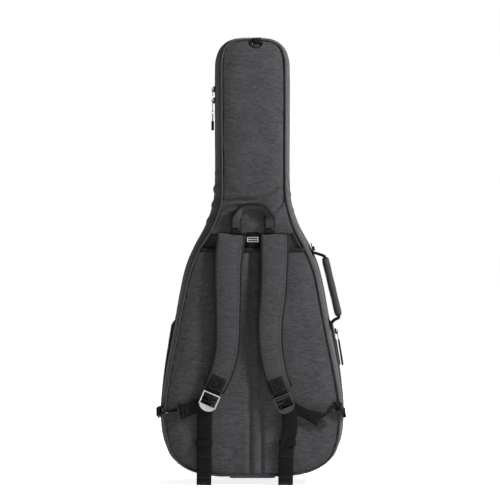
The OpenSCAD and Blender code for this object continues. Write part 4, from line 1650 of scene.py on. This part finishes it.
    def adjuster(self, hand: Hand) -> None:
        """Webbing from behind the ladder lock to the hook's eye."""
        name = hand.name.lower()
        y = self.web_y + self.web_t / 2
        ends = [
            (
                np.array([(-128, y, 208), (-93, y, 192)], float),
                np.array([(-184.5, y, 192), (-184.5, y, 154)], float)
            ),
            (
                np.array([(98, y, 206), (66, y, 186)], float),
                np.array([(161.8, y, 168.6), (184.0, y, 138.7)], float)
            )
        ][hand.value]
        a, b = ends
        share = np.linspace(0, 1, 22)[:, None]
        first = a[0] + (b[0] - a[0]) * share
        second = a[1] + (b[1] - a[1]) * share
        sag = np.sin(math.pi * share[:, 0])
        path = (first + second) / 2 + np.stack([0 * sag, -1.6 * sag, -2.0 * sag], axis=1)
        width = np.linalg.norm(first - second, axis=1)
        side = unit(second - first) + np.array([0.0, 0.10, 0.0]) * sag[:, None]
        band = sweep(
            name + "_adjuster_web", path, side, flat_profile(self.web_w, self.web_t), WEBBING,
            scale=width / self.web_w
        )
        attach(band, "tray", name + "_web")
        seam_at = path[-6:-1]
        lines = [seam_at[k] + unit(side[-3]) * np.linspace(-15, 15, 8)[:, None] for k in (0, 3)]
        out = unit(np.cross(side[-3], along(path)[-3]))
        out = out * -np.sign(out[1])
        lines = [line + out * 1.1 for line in lines]
        attach(bars_along(name + "_adjuster_stitches", lines, [out] * 2, STITCH, PALE_THREAD), "tray")

    def tail(self, hand: Hand) -> None:
        """The free end of the webbing, folded and sewn at its tip, held by an elastic keeper."""
        name = hand.name.lower()
        line = [
            [
                (-118, -101.5, 186), (-121, -97.6, 170), (-122.5, -96.0, 140), (-123, -95.4, 95),
                (-123.5, -95.2, 40), (-124, -95.0, -14.6)
            ],
            [
                (90, -101.5, 181), (95, -97.8, 165), (96, -96.2, 128), (90, -95.4, 96), (86.5, -95.2, 60),
                (85, -95.0, -14.6)
            ]
        ][hand.value]
        path = open_curve(line, 5.0)
        z = path[:, 2]
        twist = np.exp(-(((z - 98) / 26) ** 2)) * (0.10 if hand is Hand.LEFT else 0.34)
        side = np.stack(
            [-np.cos(twist), np.sin(twist) * (1 if hand is Hand.LEFT else -1), np.zeros(len(z))], axis=1
        )
        band = sweep(name + "_tail", path, side, flat_profile(self.web_w, self.web_t), WEBBING)
        attach(band, "tray")
        fold = open_curve(
            [(p[0], p[1] + 1.7, p[2]) for p in path[z < 66][:: 4]] + [(line[-1][0], line[-1][1] + 1.7, -14.6)],
            5.0
        )
        attach(
            sweep(
                name + "_tail_fold", fold, np.array([-1.0, 0, 0]), flat_profile(self.web_w - 1.2, self.web_t),
                WEBBING
            ),
            "tray"
        )
        rows = []
        for height in (60.0, 6.0, -9.0):
            mid = np.array([np.interp(-height, -z, path[:, k]) for k in range(3)])
            rows.append(mid + np.array([1.0, 0, 0]) * np.linspace(-15, 15, 8)[:, None] + [0, -1.1, 0])
        attach(bars_along(name + "_tail_stitches", rows, [TOWARDS_STRAPS] * 3, STITCH, PALE_THREAD), "tray")

    def keepers(self) -> None:
        """The elastic keepers round the tails."""
        for hand, x in ((Hand.LEFT, -124.0), (Hand.RIGHT, 90.0)):
            w, front, back = self.web_w / 2 + 2.2, -98.2, -92.2
            ring = [
                (x - w, -95.2), (x - w + 1.5, front + 0.6), (x - w + 4, front), (x, front - 0.3),
                (x + w - 4, front), (x + w - 1.5, front + 0.6), (x + w, -95.2), (x + w - 1.5, back - 0.4),
                (x + w - 4, back), (x, back), (x - w + 4, back), (x - w + 1.5, back - 0.4)
            ]
            path = np.array([(px, py, self.keeper_z) for px, py in ring])
            band = sweep(
                hand.name.lower() + "_keeper", path, np.array([0.0, 0.0, 1.0]), flat_profile(16.0, 1.4),
                WEBBING, closed=True
            )
            attach(band, "tray", *(["keepers"] if hand is Hand.LEFT else []))

    def haul_loop(
        self, at: tuple[float, float, float] = (2.0, -91.4, 645.0), width: float = 112.0, height: float = 63.0,
        band: float = 26.0
    ) -> None:
        """The padded haul loop, bound round both edges, and its two sewn ends."""
        w, top = (width - band) / 2, height - band / 2 + 4.5
        knots = [
            (-w, 0, 0), (-w, 0, 14), (-w + 2, -0.6, 30), (-w + 13, -1.0, top - 6), (-w + 30, -1.2, top),
            (0, -1.2, top + 0.4), (w - 30, -1.2, top), (w - 13, -1.0, top - 6), (w - 2, -0.6, 30), (w, 0, 14),
            (w, 0, 0)
        ]
        path = open_curve(np.array(knots, float) + np.array(at), 3.0)
        out = TOWARDS_STRAPS
        side = unit(np.cross(along(path), np.broadcast_to(out, path.shape)))
        lean = math.radians(58) * smoothstep(14, 46, path[:, 2] - at[2])[:, None]
        side = side * np.cos(lean) + np.array([0.0, 1.0, 0.0]) * np.sin(lean)
        up = unit(np.cross(side, along(path)))
        pad = sweep("haul_loop_pad", path, side, padded_profile(band - 1.0, 8.6, 6.2, 10), LOOP)
        add_subdivision(pad)
        attach(pad, "haul_loop", "haul_loop")
        tape = np.array(
            [(-4.6, -3.6), (0.2, -4.4), (2.2, -3.0), (2.6, 0.0), (2.2, 3.0), (0.2, 4.4), (-4.6, 3.6)]
        )
        for k, s in enumerate((-1, 1)):
            line = path + side * s * (band / 2 - 1.4)
            attach(sweep(f"haul_loop_binding_{'ab'[k]}", line, side * s, tape * [1.0, s], BINDING), "haul_loop")
        seams = [path + side * s * (band / 2 - 5.4) + up * 4.2 for s in (-1, 1)]
        attach(bars_along("haul_loop_stitches", seams, [up, up], FINE_STITCH, THREAD), "haul_loop")
        # The sewn ends are real anchor pieces, but their black webbing also stands in as painted shade where
        # the loop's legs curl under.
        for k, s in enumerate((-1, 1)):
            x = at[0] + s * w
            end = open_curve([(x, -88.0, 631.4), (x, -89.0, 633.6), (x, -89.6, 637.0), (x, -89.8, 640.0)], 1.5)
            patch = sweep(
                f"haul_anchor_{'ab'[k]}", end, np.array([-1.0, 0, 0]), padded_profile(band, 4.4, 3.0, 8),
                WEBBING
            )
            attach(patch, "tray", *(["sewn_anchors"] if k == 0 else []))
            rows = [np.array([(x - 8, -92.0, z), (x + 8, -92.0, z)], float) for z in (634.0, 637.6)]
            attach(
                bars_along(f"haul_anchor_stitches_{'ab'[k]}", rows, [out] * 2, FINE_STITCH, PALE_THREAD), "tray"
            )

    def side_handle(self) -> None:
        """The side handle: webbing out from the flank and back, through a wrapped grip."""
        at, lean = (156.4, -38.0, 583.0), -13.4
        out, t, w = 29.0, 7.4, 19.0
        knots = [
            (-6.0, 0, -1.5), (4.0, 0, -3.5), (14, 0, -9.0), (22, 0, -14), (out - 2.6, 0, -18),
            (out - 1.75, 0, -26), (out - 1.75, 0, -100), (out - 1.75, 0, -172), (out - 2.6, 0, -180),
            (22, 0, -182.5), (14, 0, -184.0), (4.0, 0, -190.0), (-6.0, 0, -193.0)
        ]
        path = open_curve(turned(knots, at, lean), 3.0)
        band = sweep("side_handle_web", path, np.array([0.0, 1.0, 0.0]), flat_profile(w, t), WEBBING)
        attach(band, "side_handle", "side_handle")
        rows = []
        angles = circle(18)
        for z in np.linspace(-178, -20, 34):
            end = min(z + 178, -20 - z)
            r = 10.4 - 3.2 * math.exp(-end / 2.2) + 0.25 * math.sin(z / 9.0)
            seam = 1 - 0.10 * np.exp(-((np.cos(angles - math.pi) - 1) ** 2) * 90)
            ring = np.stack(
                [
                    out - 1.75 + r * seam * np.cos(angles) * 0.95, r * seam * np.sin(angles) * 1.02,
                    np.full(18, z)
                ],
                axis=1
            )
            rows.append(turned(ring, at, lean))
        grip = skin_rows("handle_wrap", np.array(rows), GRIP, True, caps=True)
        add_subdivision(grip)
        attach(grip, "side_handle", "handle_grip")
        for k, angle in enumerate((200.0, 160.0)):
            a = math.radians(angle)
            line = turned(
                [(out - 1.75 + 10.1 * math.cos(a), 10.6 * math.sin(a), z) for z in np.linspace(-172, -26, 30)],
                at, lean
            )
            normal = turned([(math.cos(a), math.sin(a), 0)], (0, 0, 0), lean)[0]
            attach(
                bars_along(f"handle_wrap_stitches_{'ab'[k]}", [line], [normal], FINE_STITCH, THREAD),
                "side_handle"
            )
        for k, z in enumerate((2.0, -198.0)):
            low, high = z - 10, z + 22
            plate = turned([(1.0, 0, q) for q in np.linspace(low, high, 12)], at, lean)
            obj = sweep(
                f"handle_anchor_{'ab'[k]}", plate, np.array([0.0, 1.0, 0.0]), flat_profile(26.0, 1.5), WEBBING
            )
            attach(obj, "tray")
            normal = turned([(1, 0, 0)], (0, 0, 0), lean)[0]
            lines = [turned([(1.9, a, b + z + 6) for a, b in q], at, lean) for q in box_stitch(19.0, 24.0)]
            attach(
                bars_along(f"handle_anchor_stitches_{'ab'[k]}", lines, [normal] * 3, FINE_STITCH, PALE_THREAD),
                "tray"
            )
            knot = turned([(4.0, 0, z), (4.0, 0, z + 12)], at, lean)
            roll = sweep(
                f"handle_knuckle_{'ab'[k]}", open_curve(knot, 3.0), np.array([0.0, 1.0, 0.0]),
                round_profile(3.3, 12), WEBBING
            )
            attach(roll, "tray")

    def hang_ring(self) -> None:
        """The ring at the head on its folded webbing tab."""
        at = np.array([12.0, -71.0, 1122.0])
        refined("hang_ring", GUNMETAL, 0.0)
        knots = [(0, 0.6, 12), (0, -0.8, 7), (0, -1.2, 3.6), (0, -2.3, 0.6), (0, -1.7, -2.0), (0, 0.1, -2.8),
                 (0, 1.8, -1.9), (0, 2.3, 0.8), (0, 1.4, 4.2), (0, 1.6, 8), (0, 2.9, 12)]
        path = open_curve(np.array(knots, float) + at, 1.5)
        tab = sweep("hang_tab_web", path, np.array([-1.0, 0, 0]), flat_profile(22.0, self.web_t), WEBBING)
        attach(tab, "tray", "hang_tab")
        seam = np.array([(at[0] - 8, -73.6, 1129.0), (at[0] + 8, -73.6, 1129.0)], float)
        attach(bars_along("hang_tab_stitches", [seam], [TOWARDS_STRAPS], FINE_STITCH, PALE_THREAD), "tray")

    def side_rings(self) -> None:
        """The D-rings on the flanks, their tabs, the snap hooks and their eyes."""
        for node in ("left_ring", "right_ring", "left_hook", "right_hook"):
            refined(node, GUNMETAL, 0.0)
        for node in ("left_gate", "right_gate"):
            refined(node, GUNMETAL, 0.3)
        refined("hook_eyes", GUNMETAL, 0.5)
        left = [
            (-236.6, -40, 173), (-236.9, -52, 173), (-239.5, -62, 173), (-243.5, -72, 173), (-246, -86, 173),
            (-244.3, -93, 173), (-242.8, -96.2, 173), (-240, -97.1, 173), (-237.8, -95, 173),
            (-237.7, -92, 173), (-240, -88.5, 173), (-242.6, -84, 173)
        ]
        right = [
            (236.6, -40, 168), (237.4, -52, 168), (238.9, -64, 169), (239, -76, 171), (236, -85, 174),
            (229.5, -89.8, 180), (222.5, -91.2, 187), (218.4, -91.3, 190.0), (215.0, -92.6, 187.6),
            (214.4, -95.0, 187.0), (216.0, -97.1, 188.2), (218.8, -97.0, 190.2), (221.5, -95.2, 191.5),
            (226.5, -92.6, 186)
        ]
        bar = unit(np.array([[-0.602, 0.0, 0.799]]))[0]
        for name, line in (("left", left), ("right", right)):
            path = open_curve(line, 2.0)
            share = smoothstep(0.25, 0.6, np.linspace(0, 1, len(path)))[:, None]
            side = np.array([0.0, 0.0, 1.0]) * np.ones((len(path), 1))
            if name == "right":
                side = unit(side * (1 - share) + bar * share)
            width = 26.0 - 4.5 * share[:, 0]
            band = sweep(name + "_ring_tab", path, side, flat_profile(26.0, 1.5), WEBBING, scale=width / 26.0)
            attach(band, "tray", *(["ring_tabs"] if name == "left" else []))

    def build(self) -> None:
        """Makes everything that the bag is carried by."""
        for hand in Hand:
            self.strap(hand)
            self.stub(hand)
            self.buckle(hand)
            self.adjuster(hand)
            self.tail(hand)
        self.keepers()
        self.haul_loop()
        self.side_handle()
        self.hang_ring()
        self.side_rings()
        LOG.info("straps, handles and rings made")


@dataclass
class ZipHardware:
    """The sliders and pulls of the main zip and the pockets, and the fabric hinge."""

    shell: Shell
    axis_x: float = -103.4
    cord_z: float = 952.0

    def pulls(self) -> None:
        """Sliders and pulls, with the lower pull's link, cord and barrel."""
        for node in (
            "upper_slider", "upper_pull", "lower_slider", "lower_pull", "pocket_slider_a", "pocket_slider_b"
        ):
            refined(node, GUNMETAL, 0.4)
        for node in ("pocket_pull_a", "pocket_pull_b"):
            refined(node, MOULDED, 0.4)
            self.sleeve(node)
        x, top = self.axis_x, self.cord_z
        diamond = np.array([(0, 0, 0.0), (-4.4, 0, -5.2), (0, 0, -10.4), (4.4, 0, -5.2)])
        link = sweep(
            "pull_link", closed_curve(diamond, 6) + [x, 0, top], np.array([0.0, 1.0, 0.0]),
            round_profile(0.45, 8), GUNMETAL, closed=True
        )
        attach(link, "pull_cord", "pull_cord")
        loop = np.array(
            [(0, 0, -9.4), (-1.2, 0, -13.0), (-1.1, 0, -20.0), (0, 0, -28.0), (1.1, 0, -20.0), (1.2, 0, -13.0)]
        )
        cord = sweep(
            "pull_loop", closed_curve(loop, 5) + [x, 0, top], np.array([0.0, 1.0, 0.0]), round_profile(0.8, 8),
            BINDING, closed=True
        )
        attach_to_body(cord, "pull_cord")
        rows = []
        angles = circle(16)
        for z, r in (
            (-27, 0.3), (-27, 2.4), (-27.8, 3.4), (-30, 3.9), (-36, 3.5), (-44, 3.6), (-49.5, 4.0),
            (-51.4, 3.4), (-52, 2.2), (-52, 0.3)
        ):
            rows.append(np.stack([x + r * np.cos(angles), r * np.sin(angles), np.full(16, top + z)], axis=1))
        barrel = skin_rows("pull_barrel", np.array(rows), MOULDED, True, caps=True)
        add_subdivision(barrel)
        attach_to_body(barrel, "pull_cord")

    def sleeve(self, node: str) -> None:
        """A moulded sleeve over the lower part of a flat pull."""
        points = unplace(coordinates(frame["nodes"][node].data))
        middle = (points.max(axis=0) + points.min(axis=0)) / 2
        axes = np.linalg.svd(points - points.mean(axis=0))[2]
        down = axes[0] * -np.sign(axes[0][2])
        across, out = axes[1], axes[2] * np.sign(axes[2][0])
        half = np.ptp(points @ down) / 2
        wide, deep = (np.sign(v) * np.abs(v) ** 0.6 for v in (np.cos(circle(16)), np.sin(circle(16))))
        rows = []
        for share, size in (
            (-0.5, 0.1), (-0.5, 0.8), (-0.46, 1.0), (0.3, 1.0), (0.9, 1.08), (1.0, 1.0), (1.03, 0.75),
            (1.03, 0.1)
        ):
            spot = middle + down * half * share + out * 0.7
            rows.append(spot + size * (np.outer(wide, across) * 5.2 + np.outer(deep, out) * 2.7))
        obj = skin_rows(node + "_sleeve", np.array(rows), MOULDED, True, caps=True)
        add_subdivision(obj)
        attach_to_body(obj, node)

    def hinge(self, low: float = 213.0, high: float = 422.0) -> None:
        """The fabric strip that joins the lid to the tray on the left flank."""
        rim = self.shell.rim
        keep = (rim[:, 0] < -120) & (rim[:, 1] > low) & (rim[:, 1] < high)
        spots, t = rim[keep], along(rim, closed=True)[keep]
        inward = np.stack([t[:, 1], -t[:, 0]], axis=1)
        rows = []
        section = [
            (-0.4, -13.0), (-0.7, -8.0), (-0.5, -3.0), (-0.3, 0.0), (-0.5, 3.0), (-0.7, 8.0), (-0.4, 13.0),
            (0.6, 13.0), (0.5, 8.0), (0.6, 3.0), (0.8, 0.0), (0.6, -3.0), (0.5, -8.0), (0.6, -13.0)
        ]
        for p, n in zip(spots, inward):
            rows.append([(p[0] + n[0] * d, y, p[1] + n[1] * d) for d, y in section])
        strip = skin_rows("hinge_strip", np.array(rows), TAPE, True, caps=True)
        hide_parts("hinge_tape")
        middle = spots[len(spots) // 2]
        ends = place(np.array([(middle[0], -9.0, middle[1]), (middle[0], 9.0, middle[1])]))
        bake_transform(strip, "tray", "lid", start=tuple(ends[0]), end=tuple(ends[1]))

    def build(self) -> None:
        """Makes the zips' hardware and the hinge."""
        self.pulls()
        self.hinge()
        LOG.info("zip hardware made")


@dataclass
class Inside:
    """What lies inside the bag: the neck cradle with its strap, and the end pads."""

    def build(self) -> None:
        """Makes the inside."""
        for node in ("neck_cradle", "end_pads"):
            obj = softened(node, FOAM_CLOTH, 5.0, 6)
        top = -14.0 + 1.4
        for name, s in (("left", -1), ("right", 1)):
            knots = [
                (s * 62.5, top, 700), (s * 50, top, 700), (s * 33, top, 700), (s * 14, top, 700),
                (s * 0.5, top, 700)
            ]
            path = open_curve(knots, 4.0)
            band = sweep(
                name + "_neck_strap", path, np.array([0.0, 0.0, 1.0]), flat_profile(38.0, 2.0), WEBBING
            )
            attach(band, name + "_neck_flap", name + "_neck_flap")
        LOG.info("inside made")


@dataclass
class FrontSide:
    """The lid's panel and its two pockets.

    Attributes:
        shell: The shell that the lid is half of.
        fold: Height of the deep pocket's fold and of the slim pocket's.
        face: How far out the slim pocket's face is.
        parting: How far out the two pockets' zips are.
        inset: How far the slim pocket is inside the deep one.
        outline: The deep pocket's edge, as (x, z).
    """

    shell: Shell
    fold: tuple[float, float] = (160.0, 168.0)
    face: float = 114.0
    parting: tuple[float, float] = (90.3, 108.6)
    inset: float = 7.0
    outline: Array = field(init=False)

    def __post_init__(self) -> None:
        """Draws the deep pocket's outline."""
        b = self.shell.bout
        half = [
            (0, 409), (110, 409), (178, 409), (201, 403), (212, 391), (216, 372), (222.5, 331), (229, 290),
            (237, 225), (240.5, 160), (231, 92), (0.865 * b, 45), (0.67 * b, 15), (0.42 * b, 2),
            (0.25 * b, 0.4), (0, 0)
        ]
        knots = np.array(half + [(-x, z) for x, z in half[-2:0:-1]], float)
        self.outline = closed_curve(knots, 8)

    def inner(self, distance: float) -> Array:
        """The pocket's outline moved inwards."""
        t = along(self.outline, closed=True)
        return self.outline + np.stack([t[:, 1], -t[:, 0]], axis=1) * distance

    def panel(self) -> None:
        """The lid's padded panel above and behind the pockets."""
        shell = self.shell
        pad = FlatPad(
            "front_panel", shell.inset(shell.sewn(Side.FRONT) + 2.0),
            lambda z: shell.depth(Side.FRONT, z) + 0.8, Side.FRONT, SHELL, thick=12.0, edge=10.0, rim=34.0,
            drop=2.4, puff=Puff(cap=1.2), fill=0.65,
            post=lambda p: (
                wander(p, 80.0, 41.0) * 1.2 + wander(p, 28.0, 43.0) * 0.4 - 0.4
            ) * smoothstep(405, 425, p[:, 2])
        ).build()
        attach(pad, "lid", "front_fabric", "front_foam")

    def swollen(self, points: Array, distance: float) -> Array:
        """Crowns a pocket's face and sets soft unevenness in it."""
        plan = points[:, [0, 2]]
        inward = edge_distance(plan, self.inner(distance))
        full = np.sin(np.clip(inward / 46.0, 0, 1) * math.pi / 2)
        on_face = smoothstep(self.face - 4.5, self.face - 1.5, points[:, 1])
        height = full * 2.2 + (wander(points, 62.0, 13.0) * 1.1 + wander(points, 24.0, 18.0) * 0.45) * full
        out = points.copy()
        out[:, 1] += height * on_face
        out[:, 1] -= (1 - np.clip(inward / 5.0, 0, 1)) ** 2 * 1.6 * on_face
        return out

    def pockets(self) -> None:
        """The pocket shells, from their solids, crowned and joined across their folds."""
        voxel = 2.4
        for node, distance in (("pocket_base", 0.0), ("pocket_flap", self.inset), ("outer_flap", self.inset)):

            def shape(points: Array, distance: float = distance) -> Array:
                """Crowns the face of this pocket piece."""
                return self.swollen(points, distance)

            softened(node, SHELL, voxel, 2, shape, subdivide=False)

    def wall(self, name: str, distance: float, y: tuple[float, float], low: float, body: str) -> None:
        """One side of a pocket's gusset, above its fold and up to its zip."""
        ring = self.inner(distance)
        t = along(self.outline, closed=True)
        start = int(np.argmin(ring[:, 1]))
        ring, t = np.roll(ring, -start, axis=0), np.roll(t, -start, axis=0)
        keep = ring[:, 1] > low
        spots, inward = ring[keep], np.stack([t[:, 1], -t[:, 0]], axis=1)[keep]
        section = [(-0.6, y[0]), (-0.9, (y[0] + y[1]) / 2), (-0.6, y[1]), (3.0, y[1]), (3.0, y[0])]
        rows = [[(p[0] + n[0] * d, at, p[1] + n[1] * d) for d, at in section] for p, n in zip(spots, inward)]
        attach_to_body(skin_rows(name, np.array(rows), SHELL, True, caps=True), body)

    def back_cloth(self) -> None:
        """The deep pocket's back cloth, which closes it where it reaches past the lid's edge."""
        edge = clip(self.inner(1.0), 1, 158.0, True)
        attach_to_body(slab("pocket_back_cloth", edge, (80.2, 81.2), SHELL), "lid")

    def fold_tape(self, name: str, low: float, high: float, bodies: tuple[str, str]) -> None:
        """Cloth tape along a pocket's fold, bending between the two bodies it joins."""
        half = [
            (0.0, 116.9), (150.0, 116.9), (205.0, 116.2), (229.0, 115.2), (237.0, 113.4), (240.0, 108.0),
            (240.3, 103.0)
        ]
        line = open_curve(np.array([(-x, y) for x, y in half[:0:-1]] + half, float), 6.0)
        t = along(line)
        out = np.stack([-t[:, 1], t[:, 0]], axis=1)
        middle = (low + high) / 2
        section = [(0.0, low), (0.5, middle), (0.0, high), (-0.9, high), (-0.5, middle), (-0.9, low)]
        rows = [[(p[0] + n[0] * d, p[1] + n[1] * d, z) for d, z in section] for p, n in zip(line, out)]
        tape = skin_rows(name, np.array(rows), BINDING, True, caps=True)
        ends = place(np.array([(0.0, 114.0, low + 2.0), (0.0, 114.0, high - 2.0)]))
        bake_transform(tape, bodies[0], bodies[1], start=tuple(ends[0]), end=tuple(ends[1]))

    def zips(self) -> None:
        """Coils and seams of the two pocket zips."""
        for k, (distance, y, low, bodies) in enumerate(
            (
                (0.0, self.parting[0], self.fold[0], ("lid", "pocket_flap")),
                (self.inset, self.parting[1], self.fold[1], ("pocket_flap", "outer_flap"))
            )
        ):
            ring = self.inner(distance - 1.9)
            t = along(self.outline, closed=True)
            start = int(np.argmin(np.abs(ring[:, 1] - low) + (ring[:, 0] > 0) * 1e6))
            line, tangent = np.roll(ring, -start, axis=0), np.roll(t, -start, axis=0)
            keep = line[:, 1] > low + 7
            last = int(np.nonzero(~keep[4:])[0][0]) + 4
            first = int(np.nonzero(keep)[0][0])
            line, tangent = line[first:last], tangent[first:last]
            out = np.stack([-tangent[:, 1], np.zeros(len(tangent)), tangent[:, 0]], axis=1)
            for half, body in enumerate(bodies):
                side = -1 if half == 0 else 1
                coil = bars_along(
                    f"pocket_zip_{'ab'[k]}_coil_{'ab'[half]}",
                    [np.insert(line, 1, y + side * 0.9 + 0.15, axis=1)], [out], Bars(2.4, 1.3, 1.6, 1.6), COIL
                )
                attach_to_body(coil, body)

    def build(self) -> None:
        """Makes the front side."""
        self.panel()
        self.pockets()
        self.back_cloth()
        self.wall("deep_pocket_wall", 0.0, (79.0, 89.9), 158.0, "lid")
        self.wall("deep_pocket_flap_wall", 0.0, (90.8, 101.5), 162.0, "pocket_flap")
        self.wall("slim_pocket_wall", self.inset, (103.0, 108.2), 163.0, "pocket_flap")
        self.fold_tape("pocket_fold_tape", 155.6, 164.2, ("lid", "pocket_flap"))
        self.fold_tape("outer_fold_tape", 164.4, 172.6, ("pocket_flap", "outer_flap"))
        self.zips()
        LOG.info("front side made")


# ---------------------------------------------------------------- the room


@dataclass
class Room:
    """The camera, the lights and the pale floor."""

    distance: float = 5.0
    lens: float = 140.0
    centre: tuple[float, float, float] = (-0.006, -0.038, 0.588)

    def camera(self) -> None:
        """A long lens, level and square to the strap side."""
        data = bpy.data.cameras.new("camera")
        data.lens = self.lens
        data.sensor_width = 36.0
        data.clip_end = 60.0
        obj = linked("camera", data)
        obj.location = (self.centre[0], self.centre[1] - self.distance, self.centre[2])
        obj.rotation_euler = (math.pi / 2, 0, 0)
        bpy.context.scene.camera = obj

    def lamp(self, name: str, at: tuple[float, float, float], size: float, watts: float) -> None:
        """A square area light aimed at the middle of the bag."""
        data = bpy.data.lights.new(name, "AREA")
        data.size = size
        data.energy = watts
        obj = linked(name, data)
        obj.location = at
        aim = Vector(self.centre) - Vector(at)
        obj.rotation_euler = aim.to_track_quat("-Z", "Y").to_euler()

    def floor(self) -> None:
        """A white floor just below the strap tails, lifted towards white by a faint glow."""
        mesh = bpy.data.meshes.new("floor")
        z, r = -0.017, 30.0
        mesh.from_pydata([(-r, -r, z), (r, -r, z), (r, r, z), (-r, r, z)], [], [(0, 1, 2, 3)])
        obj = linked("floor", mesh)
        material = bpy.data.materials.new("white_paper_floor")
        material.use_nodes = True
        shader = material.node_tree.nodes["Principled BSDF"]
        shader.inputs["Base Color"].default_value = linear("F4F4F4")
        shader.inputs["Roughness"].default_value = 0.9
        shader.inputs["Specular IOR Level"].default_value = 0.1
        shader.inputs["Emission Color"].default_value = (1.0, 1.0, 1.0, 1.0)
        shader.inputs["Emission Strength"].default_value = 0.8
        mesh.materials.append(material)
        obj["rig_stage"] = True

    def sky(self) -> None:
        """A studio that is white all round at eye level and dim above, so that the cloth keeps its depth."""
        world = bpy.data.worlds.new("studio")
        world.use_nodes = True
        tree = world.node_tree
        facing = add_node(tree, "ShaderNodeTexCoord").outputs["Generated"]
        height = add_node(tree, "ShaderNodeSeparateXYZ", {0: facing}).outputs[2]
        strength = remap(tree, height, (0.14, 0.3), (1.0, 0.22))
        tree.links.new(strength, tree.nodes["Background"].inputs["Strength"])
        tree.nodes["Background"].inputs["Color"].default_value = (1.0, 1.0, 1.0, 1.0)
        bpy.context.scene.world = world

    def build(self) -> None:
        """Sets the room."""
        self.camera()
        self.sky()
        self.lamp("key", (1.75, -0.95, 1.85), 0.4, 190.0)
        self.lamp("fill", (-3.0, -3.0, 1.6), 2.0, 2.0)
        self.lamp("back", (1.5, 3.0, 2.2), 1.5, 50.0)
        self.floor()
        bpy.context.scene.view_settings.view_transform = "Standard"


def main() -> None:
    """Builds the bag over its frame."""
    logging.basicConfig(level=logging.INFO, format="%(name)s: %(message)s")
    Room().build()
    shell = Shell()
    for side, body, piping in ((Side.BACK, "tray", "back_piping"), (Side.FRONT, "lid", "front_piping")):
        nodes = {
            "gusset": (body + "_gusset_fabric", body + "_gusset_foam"),
            "piping": (piping,),
            "zip": (body + "_zip",),
            "lining": (body + "_lining",),
        }
        HalfShell(shell, side, body, nodes).build()
    BackPanel(shell).build()
    Carrying(shell).build()
    ZipHardware(shell).build()
    Inside().build()
    FrontSide(shell).build()
    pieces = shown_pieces()
    LOG.info("%d pieces in all", len(pieces))


if __name__ == "__main__":
    main()
